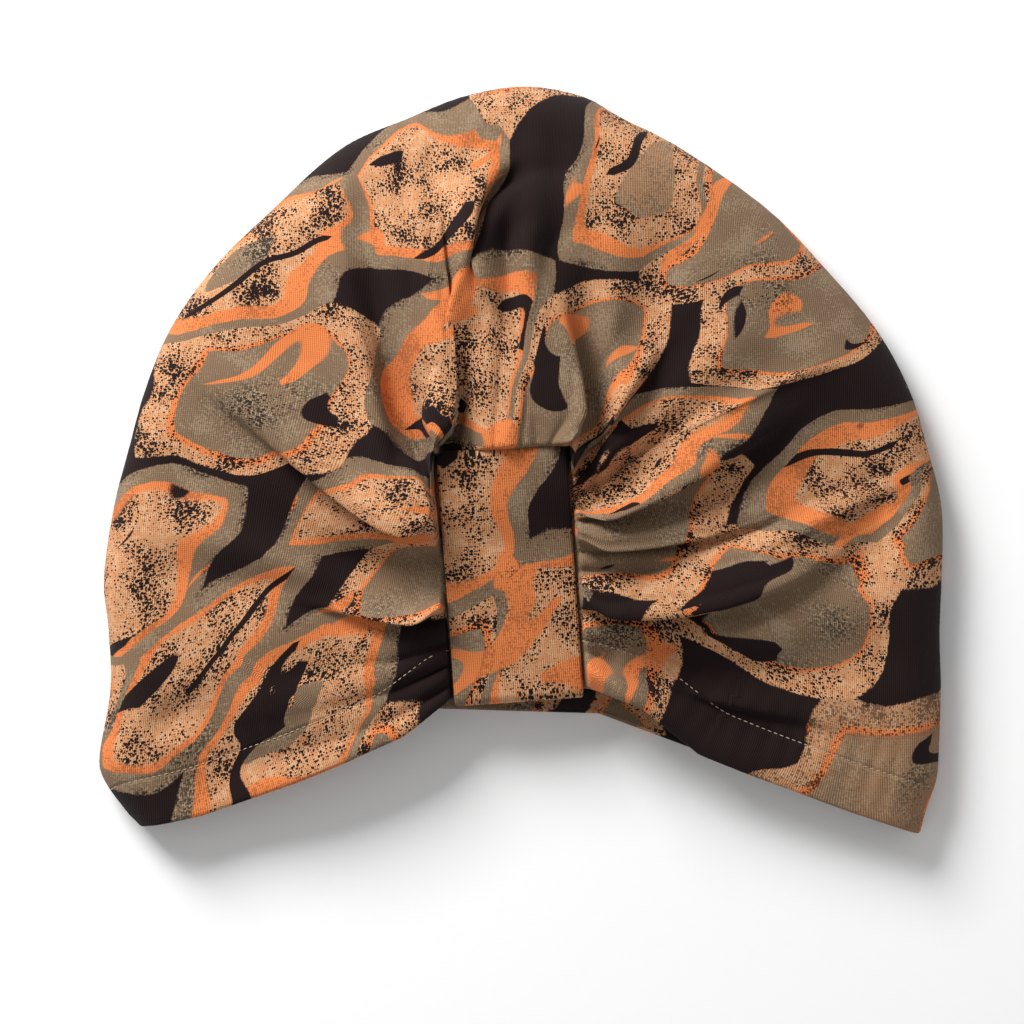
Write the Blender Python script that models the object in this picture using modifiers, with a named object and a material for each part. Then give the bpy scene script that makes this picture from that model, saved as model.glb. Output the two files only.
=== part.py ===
"""Turban hat of printed jersey, lying on its back with the gathered front up.

Two sewn pieces: the hollow cloth shell, open along its hem, and the band that
cinches the middle of the front. Metres, +Z up, +Y towards the crown.
"""
import math

import bpy
import numpy as np

# Plan size of the hat as it lies
HALF_WIDTH = 0.140
LENGTH = 0.2474

# Cloth thickness
WALL = 0.0012
HEM_WALL = 0.0022
HEM_DEPTH = 0.015
HEM_EASE = 0.004
BAND_WALL = 0.0020
CLEARANCE = 0.0004

# Heights of the lying hat
EDGE_HEIGHT = 0.0070
FRONT_LEVEL = 0.0170
FRONT_ROLL = 0.0150
BACK_ROLL = 0.0100
HUB_LOW = 0.0165
HUB_HIGH = 0.0275
HUB_ARCH = 0.0014

# Centre band: the middle of its foot in shares of half width and length, then its sizes
BAND_FOOT = (-0.005, 0.190)
BAND_WIDTH = 0.0426
BAND_LENGTH = 0.0780
BAND_TILT = math.radians(4.1)
BAND_INSIDE = 0.0280
BAND_TAIL = 0.0110
TAIL_RISE = 0.0200
BAND_MARGIN = 0.0016
BAND_EASE = 0.0140
PLEAT_START = 0.0060

# Unit of the pleat table and how pleats fade towards the rounded edge
PLEAT = 0.010
PLEAT_FADE = 0.024
PLEAT_RISE = 0.014
PLEAT_NARROW = 0.85
PLEAT_SPREAD = 1.10
PLEAT_ROOT = 0.008
PLEAT_TIP = 0.060
PLEAT_CAP = 0.0120
RIDGE_STEPS = 32

# Outline by sections: height share, left and right reach in shares of the half width
OUTLINE = (
    (0.030, -0.941, 0.964),
    (0.070, -0.990, 0.988),
    (0.103, -1.000, 0.993),
    (0.191, -0.974, 0.998),
    (0.272, -0.979, 0.995),
    (0.339, -0.990, 1.000),
    (0.433, -0.967, 1.000),
    (0.513, -0.931, 0.967),
    (0.594, -0.891, 0.922),
    (0.675, -0.831, 0.843),
    (0.755, -0.732, 0.724),
    (0.836, -0.587, 0.584),
    (0.917, -0.425, 0.380),
    (0.957, -0.268, 0.242),
    (0.987, -0.133, 0.145),
)
LEFT_TIP = (-0.905, 0.008)
RIGHT_TIP = (0.950, 0.000)
CROWN_TIP = (0.009, 1.000)
OUTLINE_STEPS = 600
RING_STEPS = 200
POINTS_AT_ONCE = 50

# Drop of the front hem below a straight line from band to tip: share of the way, left, right,
# in shares of the length
HEM_DROP = (
    (0.00, 0.000, 0.000),
    (0.08, 0.012, -0.003),
    (0.16, 0.023, -0.007),
    (0.34, 0.025, 0.021),
    (0.50, 0.024, 0.019),
    (0.80, 0.016, 0.010),
    (1.00, 0.000, 0.000),
)
HEM_DROP_SPAN = 0.30
BACK_HEM_LEFT = (-0.228, 0.168)
BACK_HEM_RIGHT = (0.188, 0.161)

# Where the lines across the cloth run: share of the columns, round the band, round the outline,
# and bow of the line to its left in shares of the length
GUIDES = (
    (0.000, 0.000, 0.000, 0.000),
    (0.100, 0.146, 0.147, 0.000),
    (0.140, 0.192, 0.198, 0.029),
    (0.200, 0.259, 0.272, 0.019),
    (0.300, 0.285, 0.403, 0.040),
    (0.345, 0.320, 0.433, 0.030),
    (0.410, 0.393, 0.456, 0.000),
    (0.580, 0.607, 0.545, 0.000),
    (0.650, 0.615, 0.633, -0.019),
    (0.680, 0.656, 0.670, -0.010),
    (0.720, 0.689, 0.732, 0.010),
    (0.745, 0.702, 0.749, 0.030),
    (0.790, 0.744, 0.802, -0.020),
    (0.870, 0.856, 0.820, -0.045),
    (1.000, 1.000, 1.000, 0.000),
)

# Puffs of the front: middle and radii in shares, height in shares of the front level
PUFFS = (
    ("crown", 0.00, 0.74, 0.50, 0.22, 0.95),
    ("left_shoulder", -0.50, 0.55, 0.28, 0.20, 0.35),
    ("right_shoulder", 0.52, 0.55, 0.28, 0.20, 0.35),
    ("left_cheek", -0.62, 0.27, 0.28, 0.14, 0.25),
    ("right_cheek", 0.62, 0.27, 0.30, 0.14, 0.25),
    ("heart", 0.00, 0.42, 0.30, 0.20, 0.50),
)

# Pleats, from the band outwards: name, start, middle, end in shares of half width and length,
# height, left width, right width and lean in pleat units, share of the run over which it rises
PLEATS = (
    ("left_low", (-0.121, 0.308), (-0.335, 0.306), (-0.615, 0.332), 0.45, 0.50, 0.90, 0.2, 0.0),
    ("left_hollow", (-0.133, 0.345), (-0.382, 0.355), (-0.667, 0.426), -0.55, 0.90, 0.90, 0.0, 0.0),
    ("left_tuck", (-0.145, 0.382), (-0.252, 0.406), (-0.344, 0.438), 0.45, 0.50, 0.50, 0.0, 0.0),
    ("left_sweep", (-0.145, 0.399), (-0.420, 0.472), (-0.834, 0.655), 0.80, 0.55, 1.50, 0.4, 0.0),
    ("left_high", (-0.157, 0.409), (-0.306, 0.497), (-0.387, 0.688), 0.60, 0.75, 0.65, 0.0, 0.0),
    ("left_pit", (-0.157, 0.446), (-0.276, 0.527), (-0.292, 0.728), -0.85, 0.70, 0.75, 0.0, 0.0),
    ("left_pleat", (-0.221, 0.440), (-0.202, 0.661), (-0.230, 0.930), 0.65, 1.30, 0.50, 0.3, 0.0),
    ("corner_roll", (-0.164, 0.426), (-0.258, 0.466), (-0.202, 0.520), 0.55, 0.45, 0.45, 0.0, 0.0),
    ("corner_strip", (-0.202, 0.460), (-0.173, 0.594), (-0.093, 0.836), 0.55, 0.45, 0.50, 0.0, 0.0),
    ("centre_crease", (-0.178, 0.487), (-0.150, 0.594), (-0.107, 0.749), -0.40, 0.45, 0.45, 0.0, 0.0),
    ("centre_puff", (-0.031, 0.473), (-0.036, 0.608), (-0.007, 0.782), 0.60, 1.50, 1.40, 0.0, 0.0),
    ("centre_pleat", (0.090, 0.440), (0.107, 0.594), (0.057, 0.742), 0.60, 0.90, 0.50, 0.2, 0.0),
    ("right_pit", (0.140, 0.450), (0.159, 0.608), (0.116, 0.762), -0.80, 0.65, 0.70, 0.0, 0.0),
    ("right_rise", (0.083, 0.465), (0.216, 0.574), (0.349, 0.681), 0.65, 0.65, 0.55, 0.1, 0.0),
    ("thin_ridge", (0.083, 0.449), (0.188, 0.503), (0.306, 0.574), 0.45, 0.45, 0.45, 0.0, 0.0),
    ("slit", (0.083, 0.433), (0.259, 0.480), (0.425, 0.547), -0.50, 0.50, 0.50, 0.0, 0.0),
    ("right_pleat", (0.074, 0.419), (0.387, 0.487), (0.715, 0.597), 0.65, 0.85, 0.50, 0.3, 0.0),
    ("right_ridge", (0.074, 0.402), (0.385, 0.406), (0.810, 0.473), 0.60, 0.60, 0.50, 0.2, 0.0),
    ("right_low", (0.093, 0.317), (0.482, 0.320), (0.865, 0.422), 0.55, 1.10, 0.55, 0.2, 0.0),
    ("foot_roll", (0.107, 0.274), (0.164, 0.258), (0.216, 0.242), 0.40, 0.45, 0.45, 0.0, 0.0),
    ("hem_roll", (0.121, 0.231), (0.240, 0.191), (0.454, 0.121), 0.55, 0.50, 0.55, 0.0, 0.0),
    ("hem_crease", (0.354, 0.199), (0.591, 0.169), (0.912, 0.137), 0.30, 0.80, 0.50, 0.1, 0.3),
    ("side_hollow", (0.943, 0.540), (0.805, 0.386), (0.591, 0.305), -0.45, 1.40, 1.40, 0.0, 0.4),
    ("corner_hollow", (-0.905, 0.117), (-0.786, 0.161), (-0.596, 0.180), -0.25, 0.80, 0.80, 0.0, 0.4),
    ("crown_ridge", (-0.107, 0.715), (-0.107, 0.849), (0.074, 0.919), 0.40, 0.60, 0.50, 0.1, 0.3),
    ("crown_slit", (-0.081, 0.728), (-0.071, 0.831), (0.057, 0.882), -0.35, 0.50, 0.50, 0.0, 0.3),
    ("crown_swag", (-0.021, 0.661), (-0.064, 0.820), (0.216, 0.863), 0.45, 0.55, 0.60, 0.1, 0.3),
    ("crown_swag_low", (0.045, 0.702), (0.045, 0.816), (0.335, 0.868), 0.35, 0.60, 0.60, 0.0, 0.3),
)

# Mesh rows: shares of the way under the band, from band to outline, and back to the rear hem
COLUMNS = 96
UNDER_BAND = (0.0, 0.5)
TO_OUTLINE = (0.0, 0.020, 0.045, 0.080, 0.120, 0.170, 0.230, 0.300, 0.380, 0.460, 0.540, 0.620,
              0.700, 0.780, 0.850, 0.910, 0.955, 0.985)
TO_REAR_HEM = (0.0, 0.018, 0.045, 0.080, 0.200, 0.550, 1.0)

# Plain colours and finish of the two cloths
JERSEY_COLOUR = (0.30, 0.17, 0.09, 1.0)
BAND_COLOUR = (0.46, 0.24, 0.12, 1.0)
CLOTH_ROUGHNESS = 0.9

# Mesh steps of the band: across, round a full turn and along its straight runs
BAND_ACROSS = 6
TURN_STEPS = 8
RUN_STEPS = 8
TAIL_STEPS = 4
HEM_TURN_SPACE = 0.0005
TOP_TURN_SPACE = 0.0004


def smooth(share):
    """Ease from nought to one."""
    t = np.clip(share, 0.0, 1.0)
    return t * t * (3.0 - 2.0 * t)


def to_plan(shares):
    """Turn shares of half width and length into metres, middle of the length at nought."""
    return np.asarray(shares, float) * (HALF_WIDTH, LENGTH) - (0.0, LENGTH / 2)


def rounded_line(corners, count):
    """Evenly spaced points on a smooth line through the corners."""
    pts = np.vstack([2 * corners[0] - corners[1], corners, 2 * corners[-1] - corners[-2]])
    spans = len(corners) - 1
    where = np.linspace(0, spans, count * 2)
    span = np.minimum(where.astype(int), spans - 1)
    t = (where - span)[:, None]
    a, b, c, d = pts[span], pts[span + 1], pts[span + 2], pts[span + 3]
    line = 0.5 * (2 * b + (c - a) * t + (2 * a - 5 * b + 4 * c - d) * t**2
                  + (3 * b - a - 3 * c + d) * t**3)
    return even_line(line, count)


def even_line(line, count):
    """The same line with its points evenly spaced along it."""
    length = np.concatenate([[0.0], np.cumsum(np.linalg.norm(np.diff(line, axis=0), axis=1))])
    wanted = np.linspace(0.0, length[-1], count)
    return np.column_stack([np.interp(wanted, length, line[:, i]) for i in range(2)])


def at_share(line, share):
    """Points at shares of the way along an evenly spaced line."""
    steps = np.linspace(0.0, 1.0, len(line))
    return np.column_stack([np.interp(share, steps, line[:, i]) for i in range(2)])


def outline_line():
    """Outline in plan from the left tip over the crown to the right tip."""
    left = [(row[1], row[0]) for row in OUTLINE]
    right = [(row[2], row[0]) for row in reversed(OUTLINE)]
    corners = to_plan([LEFT_TIP] + left + [CROWN_TIP] + right + [RIGHT_TIP])
    return rounded_line(corners, OUTLINE_STEPS)


def band_to_plan(across, along):
    """Plan point of a place on the band, measured from the middle of its foot."""
    foot = to_plan(BAND_FOOT)
    x = foot[0] + across * math.cos(BAND_TILT) - along * math.sin(BAND_TILT)
    y = foot[1] + across * math.sin(BAND_TILT) + along * math.cos(BAND_TILT)
    return np.stack([x, y], axis=-1)


def plan_to_band(spots):
    """Across and along the band for plan points."""
    away = spots - to_plan(BAND_FOOT)
    across = away[..., 0] * math.cos(BAND_TILT) + away[..., 1] * math.sin(BAND_TILT)
    along = away[..., 1] * math.cos(BAND_TILT) - away[..., 0] * math.sin(BAND_TILT)
    return across, along


def hub_height(across, along):
    """Height of the gathered cloth that the band holds."""
    reach = np.clip(across / (BAND_WIDTH / 2 + BAND_MARGIN), -1, 1)
    climb = np.clip(along, 0.0, BAND_LENGTH + BAND_MARGIN) / BAND_LENGTH
    return HUB_LOW + (HUB_HIGH - HUB_LOW) * climb + HUB_ARCH * (1 - reach**2)


def band_ring():
    """Line just outside the band: up its left side, over its top, down its right side."""
    side = BAND_WIDTH / 2 + BAND_MARGIN
    top = BAND_LENGTH + BAND_MARGIN
    corners = np.array([(-side, 0.0), (-side, top), (side, top), (side, 0.0)])
    sides = zip(corners[:-1], corners[1:])
    line = np.vstack([np.linspace(near, far, RING_STEPS) for near, far in sides])
    line = even_line(line, OUTLINE_STEPS)
    return band_to_plan(line[:, 0], line[:, 1])


def beyond_band(spots):
    """Distance of plan points outside the line round the band."""
    across, along = plan_to_band(spots)
    side = np.maximum(np.abs(across) - BAND_WIDTH / 2 - BAND_MARGIN, 0.0)
    top = np.maximum(along - BAND_LENGTH - BAND_MARGIN, 0.0)
    return np.hypot(side, top)


def distance_to(spots, line):
    """Least plan distance from each point to a dense line."""
    nearest = np.full(len(spots), np.inf)
    for start in range(0, len(line), POINTS_AT_ONCE):
        gaps = np.linalg.norm(spots[:, None, :] - line[None, start:start + POINTS_AT_ONCE, :], axis=2)
        nearest = np.minimum(nearest, gaps.min(axis=1))
    return nearest


def front_spots(share, way):
    """Plan points of the front: column share, and share of the way from band to outline."""
    guide = np.array(GUIDES)
    start = at_share(band_ring(), np.interp(share, guide[:, 0], guide[:, 1]))
    end = at_share(outline_line(), np.interp(share, guide[:, 0], guide[:, 2]))
    run = end - start
    side = np.column_stack([-run[:, 1], run[:, 0]]) / np.linalg.norm(run, axis=1)[:, None]
    bow = LENGTH * np.interp(share, guide[:, 0], guide[:, 3]) * 4 * way * (1 - way)
    spots = start + run * way[:, None] + side * bow[:, None]
    drop = np.array(HEM_DROP)
    left = np.interp(way, drop[:, 0], drop[:, 1]) * np.clip(1 - share / HEM_DROP_SPAN, 0, 1) ** 2
    right = np.interp(way, drop[:, 0], drop[:, 2]) * np.clip(1 - (1 - share) / HEM_DROP_SPAN, 0, 1) ** 2
    spots[:, 1] -= LENGTH * (left + right)
    return spots


def under_band_spots(share, way):
    """Plan points of the front under the band, from its hem to the line round the band."""
    guide = np.array(GUIDES)
    end = at_share(band_ring(), np.interp(share, guide[:, 0], guide[:, 1]))
    reach = BAND_WIDTH / 2 - BAND_MARGIN
    start = band_to_plan((2 * share - 1) * reach, 0.0 * share)
    return start + (end - start) * way[:, None]


def rear_spots(share, way):
    """Plan points of the back, from the outline to the rear hem."""
    guide = np.array(GUIDES)
    start = at_share(outline_line(), np.interp(share, guide[:, 0], guide[:, 2]))
    left = to_plan(BACK_HEM_LEFT)
    right = to_plan(BACK_HEM_RIGHT)
    end = left + (right - left) * share[:, None]
    return start + (end - start) * way[:, None]


def front_rise(spots, edge):
    """Free height of the front without its pleats."""
    shares = (spots + (0.0, LENGTH / 2)) / (HALF_WIDTH, LENGTH)
    level = np.ones(len(spots))
    for _, u, v, wide, high, rise in PUFFS:
        away = ((shares[:, 0] - u) / wide) ** 2 + ((shares[:, 1] - v) / high) ** 2
        level += rise * np.exp(-away)
    roll = np.sqrt(1 - (1 - np.minimum(edge / FRONT_ROLL, 1.0)) ** 2)
    return EDGE_HEIGHT + (FRONT_LEVEL * level - EDGE_HEIGHT) * roll


def pleat_push(spots, row):
    """Rise and sideways push of one pleat at plan points."""
    _, start, middle, end, height, left, right, lean, rise = row
    t = np.linspace(0.0, 1.0, RIDGE_STEPS)[:, None]
    a, m, c = to_plan(start), to_plan(middle), to_plan(end)
    ridge = a * (1 - t) * (1 - 2 * t) + m * 4 * t * (1 - t) + c * t * (2 * t - 1)
    along = np.gradient(ridge, axis=0)
    along /= np.linalg.norm(along, axis=1)[:, None]
    gaps = spots[:, None, :] - ridge[None, :, :]
    near = np.argmin((gaps**2).sum(axis=2), axis=1)
    away = gaps[np.arange(len(spots)), near]
    heading = along[near]
    side = np.stack([-heading[:, 1], heading[:, 0]], axis=1)
    across = (away * side).sum(axis=1)
    beyond = (away * heading).sum(axis=1)
    place = np.clip(near / (RIDGE_STEPS - 1) + beyond / PLEAT_TIP, 0.0, 1.0)
    wide = np.where(across > 0, left, right) * PLEAT * (PLEAT_NARROW + PLEAT_SPREAD * place)
    profile = np.cos(np.pi / 2 * np.clip(np.abs(across) / wide, 0, 1)) ** 2
    profile *= (1 - smooth(place) ** 1.5) * (1 - smooth(-beyond * (near == 0) / PLEAT_ROOT))
    if rise > 0:
        profile *= smooth(place / rise)
    towards = 1.0 if left < right else -1.0
    push = side * (towards * lean * PLEAT * profile)[:, None]
    return height * PLEAT_RISE * profile, push


def front_surface(spots, outline):
    """Outer points of the front, with the pleats raised and leant over."""
    edge = distance_to(spots, outline)
    outside = beyond_band(spots)
    free = smooth(outside / BAND_EASE)
    hold = smooth(outside / PLEAT_START) * smooth(edge / PLEAT_FADE)
    rise = np.zeros(len(spots))
    push = np.zeros_like(spots)
    for row in PLEATS:
        height, sideways = pleat_push(spots, row)
        rise += height
        push += sideways
    rise = PLEAT_CAP * np.tanh(rise / PLEAT_CAP)
    across, along = plan_to_band(spots)
    tall = hub_height(across, along) * (1 - free) + front_rise(spots, edge) * free + rise * hold
    return np.column_stack([spots + push * hold[:, None], tall])


def rear_surface(spots, outline):
    """Outer points of the back, flat where it lies and rolled up to the edge."""
    edge = distance_to(spots, outline)
    roll = np.sqrt(1 - (1 - np.minimum(edge / BACK_ROLL, 1.0)) ** 2)
    return np.column_stack([spots, EDGE_HEIGHT * (1 - roll)])


def shell_points(columns, under, front, rear):
    """Outer points of the whole shell, a row of columns at a time, from front hem to rear hem."""
    outline = outline_line()
    share = np.linspace(0.0, 1.0, columns + 1)
    rows = []
    for way in under:
        rows.append(front_surface(under_band_spots(share, np.full(columns + 1, way)), outline))
    for way in front:
        rows.append(front_surface(front_spots(share, np.full(columns + 1, way)), outline))
    for way in rear:
        rows.append(rear_surface(rear_spots(share, np.full(columns + 1, way)), outline))
    return np.array(rows)


def hem_share(points):
    """One where the cloth is doubled by the hem or packed by the band, nought in the open."""
    rim = np.vstack([points[0], points[:, 0], points[-1], points[:, -1]])
    flat = points.reshape(-1, 3)
    near = np.full(len(flat), np.inf)
    for spot in even_rim(rim):
        near = np.minimum(near, np.linalg.norm(flat - spot, axis=1))
    doubled = 1 - smooth((near - HEM_DEPTH) / HEM_EASE)
    packed = 1 - smooth(beyond_band(flat[:, :2]) / HEM_EASE)
    under = np.arange(len(flat)) < len(flat) * len(UNDER_BAND + TO_OUTLINE) / len(points)
    return np.maximum(doubled, np.where(under, packed, 0.0))


def even_rim(rim):
    """Rim points with two more between each pair of neighbours."""
    near = np.linalg.norm(np.diff(rim, axis=0), axis=1) < HEM_DEPTH * 2
    between = [rim[:-1][near] + (rim[1:][near] - rim[:-1][near]) * t for t in (1 / 3, 2 / 3)]
    return np.vstack([rim] + between)


def cloth_grid(name, rows, columns, points):
    """A grid of quads placed on the given points, row by row."""
    bpy.ops.mesh.primitive_grid_add(x_subdivisions=columns, y_subdivisions=rows, size=1.0)
    piece = bpy.context.active_object
    piece.name = name
    piece.data.name = name
    piece.data.vertices.foreach_set("co", points.reshape(-1))
    piece.data.update()
    return piece


def cloth_material(name, colour):
    """Plain matt cloth."""
    material = bpy.data.materials.new(name)
    material.use_nodes = True
    shader = material.node_tree.nodes["Principled BSDF"]
    shader.inputs["Base Color"].default_value = colour
    shader.inputs["Roughness"].default_value = CLOTH_ROUGHNESS
    return material


def thicken(piece, thickness, offset, group=None, thin_share=1.0):
    """Give a sheet its cloth thickness."""
    wall = piece.modifiers.new("cloth", "SOLIDIFY")
    wall.thickness = thickness
    wall.offset = offset
    wall.use_even_offset = False
    if group:
        wall.vertex_group = group
        wall.thickness_vertex_group = thin_share


def build_shell(collection):
    """The gathered cloth shell with its turned hem."""
    points = shell_points(COLUMNS, UNDER_BAND, TO_OUTLINE, TO_REAR_HEM)
    shell = cloth_grid("cap_shell", len(points) - 1, COLUMNS, points)
    group = shell.vertex_groups.new(name="doubled")
    for index, share in enumerate(hem_share(points)):
        group.add([index], float(share), "REPLACE")
    thicken(shell, HEM_WALL, -1.0, "doubled", WALL / HEM_WALL)
    shell.data.materials.append(cloth_material("printed_jersey", JERSEY_COLOUR))
    move_to(shell, collection)
    return shell


def band_path():
    """Inner face of the band in side view: along the band, and height over the gathered cloth."""
    below = -HEM_WALL - CLEARANCE - HEM_TURN_SPACE
    above = CLEARANCE
    lifted = 2 * CLEARANCE + BAND_WALL + TOP_TURN_SPACE
    path = [(way, below) for way in np.linspace(BAND_INSIDE, 0.0, RUN_STEPS + 1)]
    half = (above - below) / 2
    for turn in np.linspace(0.0, math.pi, TURN_STEPS + 1)[1:-1]:
        path.append((-half * math.sin(turn), (above + below) / 2 - half * math.cos(turn)))
    level_run = BAND_LENGTH - BAND_TAIL - TAIL_RISE
    path += [(way, above) for way in np.linspace(0.0, level_run, RUN_STEPS + 1)]
    for step in np.linspace(0.0, 1.0, RUN_STEPS + 1)[1:]:
        path.append((level_run + TAIL_RISE * step, above + (lifted - above) * float(smooth(step))))
    under = above + BAND_WALL + CLEARANCE / 2
    path += [(way, lifted) for way in np.linspace(BAND_LENGTH - BAND_TAIL, BAND_LENGTH, TAIL_STEPS)[1:]]
    half = (lifted - under) / 2
    for turn in np.linspace(0.0, math.pi, TURN_STEPS + 1)[1:-1]:
        path.append((BAND_LENGTH + half * math.sin(turn), (lifted + under) / 2 + half * math.cos(turn)))
    path += [(way, under) for way in np.linspace(BAND_LENGTH, BAND_LENGTH - BAND_TAIL, TAIL_STEPS)]
    return np.array(path)


def build_band(collection):
    """The doubled band that wraps the hem and cinches the gathers."""
    path = band_path()
    half = BAND_WIDTH / 2
    across = np.linspace(-half, half, BAND_ACROSS + 1)
    rows = []
    for along, over in path:
        spots = band_to_plan(across, np.full(len(across), along))
        tall = hub_height(across, np.full(len(across), along)) + over
        rows.append(np.column_stack([spots, tall]))
    points = np.array(rows)
    band = cloth_grid("centre_band", len(path) - 1, BAND_ACROSS, points)
    thicken(band, BAND_WALL, 1.0)
    band.data.materials.append(cloth_material("band_jersey", BAND_COLOUR))
    move_to(band, collection)
    return band


def move_to(piece, collection):
    """Put a piece in the hat's collection only."""
    for home in list(piece.users_collection):
        home.objects.unlink(piece)
    collection.objects.link(piece)


def seat_on_origin(pieces, collection):
    """Hang the pieces on one empty so that the hat stands centred on the origin."""
    seat = bpy.data.objects.new("turban_hat", None)
    collection.objects.link(seat)
    for piece in pieces:
        piece.parent = seat
    bpy.context.view_layer.update()
    graph = bpy.context.evaluated_depsgraph_get()
    corners = []
    for piece in pieces:
        mesh = piece.evaluated_get(graph).to_mesh()
        flat = np.empty(len(mesh.vertices) * 3)
        mesh.vertices.foreach_get("co", flat)
        corners.append(flat.reshape(-1, 3))
        piece.evaluated_get(graph).to_mesh_clear()
    spots = np.vstack(corners)
    low = spots.min(axis=0)
    high = spots.max(axis=0)
    seat.location = (-(low[0] + high[0]) / 2, -(low[1] + high[1]) / 2, -low[2])
    bpy.context.view_layer.update()


def main():
    """Clear the scene and build the hat."""
    for old in list(bpy.data.objects):
        bpy.data.objects.remove(old, do_unlink=True)
    collection = bpy.data.collections.new("turban_hat")
    bpy.context.scene.collection.children.link(collection)
    pieces = [build_shell(collection), build_band(collection)]
    seat_on_origin(pieces, collection)


main()
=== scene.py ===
"""The looks of a turban hat in printed jersey: gathered shell, centre band, stitching and light."""
import math

import bpy
import numpy as np
from mathutils import Matrix, Vector

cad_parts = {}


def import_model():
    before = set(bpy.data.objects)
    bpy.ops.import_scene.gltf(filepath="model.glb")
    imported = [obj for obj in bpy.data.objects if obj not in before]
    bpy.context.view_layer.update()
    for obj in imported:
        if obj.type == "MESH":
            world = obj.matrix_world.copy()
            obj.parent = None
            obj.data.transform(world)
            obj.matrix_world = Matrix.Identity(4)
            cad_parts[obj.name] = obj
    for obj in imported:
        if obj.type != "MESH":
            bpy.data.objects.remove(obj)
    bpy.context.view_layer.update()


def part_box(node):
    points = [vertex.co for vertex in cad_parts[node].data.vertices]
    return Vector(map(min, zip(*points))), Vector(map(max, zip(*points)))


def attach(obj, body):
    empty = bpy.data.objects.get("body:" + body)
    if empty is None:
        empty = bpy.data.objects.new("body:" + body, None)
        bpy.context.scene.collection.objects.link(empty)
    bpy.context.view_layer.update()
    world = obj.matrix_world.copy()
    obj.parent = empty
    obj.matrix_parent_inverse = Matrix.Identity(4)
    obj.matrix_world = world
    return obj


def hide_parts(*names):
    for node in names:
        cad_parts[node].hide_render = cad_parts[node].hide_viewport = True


# Plan size of the hat as it lies
HALF_WIDTH = 0.140
LENGTH = 0.2474

# Cloth thickness
WALL = 0.0012
HEM_WALL = 0.0022
HEM_DEPTH = 0.015
HEM_EASE = 0.0030
BAND_WALL = 0.0020
CLEARANCE = 0.0004

# Heights of the lying hat
EDGE_HEIGHT = 0.0070
FRONT_LEVEL = 0.0170
FRONT_ROLL = 0.0150
BACK_ROLL = 0.0100
HUB_LOW = 0.0165
HUB_HIGH = 0.0275
HUB_ARCH = 0.0014

# Centre band: the middle of its foot in shares of half width and length, then its sizes
BAND_FOOT = (-0.005, 0.190)
BAND_WIDTH = 0.0426
BAND_LENGTH = 0.0780
BAND_TILT = math.radians(4.1)
BAND_INSIDE = 0.0280
BAND_TAIL = 0.0110
TAIL_RISE = 0.0200
BAND_MARGIN = 0.0006
HEM_TURN_SPACE = 0.0005
TOP_TURN_SPACE = 0.0004

# Cloth coming free of the band: how far out it finds its own level, its pleats rise and lean,
# and how steeply it may sink
BAND_EASE = 0.0140
PLEAT_START = 0.0016
LEAN_START = 0.0120
PIT_SLOPE = 0.60

# Pleats: unit of their widths, unit of their heights, how they widen, end and lean
PLEAT = 0.010
PLEAT_RISE = 0.014
PLEAT_NARROW = 0.85
PLEAT_SPREAD = 1.10
PLEAT_ROOT = 0.008
PLEAT_TIP = 0.060
PLEAT_CAP = 0.0150
PLEAT_FADE = 0.024
PLEAT_LEAN = 1.6
PLEAT_HOLD = 2.2
TUCK_SHARE = 0.60
ROLL_SHAPE = 1.25
SLIT_SHAPE = 2.0
RIDGE_STEPS = 48

# Small gathers that run out from the band
GATHER_PITCH = 0.0074
GATHER_HEIGHT = 0.0042
GATHER_REACH = 0.28
GATHER_ROUND = 0.01
GATHER_FADE = 1.3

# Unevenness of the gathers: amount, length round the band and starting turn
GATHER_DRIFT = ((1.3, 0.031, 1.0), (0.9, 0.0117, 0.0))
GATHER_FAN = (1.5, 0.023, 0.0)
GATHER_STRENGTH = (0.40, 0.019, 0.6)
GATHER_ENDS = (0.5, 0.0143, 2.0)

# Long soft swells of the limp cloth: waves across it, height and starting turn
SWELLS = ((7.0, 0.0018, 0.4), (13.0, 0.0012, 2.0), (23.0, 0.0007, 1.1))
SWELL_SLANT = 2.2
SWELL_SHAPE = 0.8

# Ripples of the limp cloth: length and height, then how many, how their lengths vary and their seed
RIPPLES = ((0.070, 0.0009), (0.034, 0.0003))
RIPPLE_WAVES = 10
RIPPLE_VARIES = (0.7, 1.4)
RIPPLE_SEED = 11

# Outline by sections: share of the length, left and right reach in shares of the half width
OUTLINE = (
    (0.030, -0.941, 0.964),
    (0.070, -0.990, 0.988),
    (0.103, -1.000, 0.993),
    (0.191, -0.974, 0.998),
    (0.272, -0.979, 0.995),
    (0.339, -0.990, 1.000),
    (0.433, -0.967, 1.000),
    (0.513, -0.931, 0.967),
    (0.594, -0.891, 0.922),
    (0.675, -0.831, 0.843),
    (0.755, -0.732, 0.724),
    (0.836, -0.587, 0.584),
    (0.917, -0.425, 0.380),
    (0.957, -0.268, 0.242),
    (0.987, -0.133, 0.145),
)
LEFT_TIP = (-0.905, 0.008)
RIGHT_TIP = (0.950, 0.000)
CROWN_TIP = (0.009, 1.000)
OUTLINE_STEPS = 900
SIDE_STEPS = 200

# Drop of the front hem below a straight line from band to tip: share of the way, left, right,
# in shares of the length
HEM_DROP = (
    (0.00, 0.000, 0.000),
    (0.08, 0.012, -0.003),
    (0.16, 0.023, -0.007),
    (0.34, 0.025, 0.021),
    (0.50, 0.024, 0.019),
    (0.80, 0.016, 0.010),
    (1.00, 0.000, 0.000),
)
HEM_DROP_SPAN = 0.30
BACK_HEM_LEFT = (-0.228, 0.168)
BACK_HEM_RIGHT = (0.188, 0.161)

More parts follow.
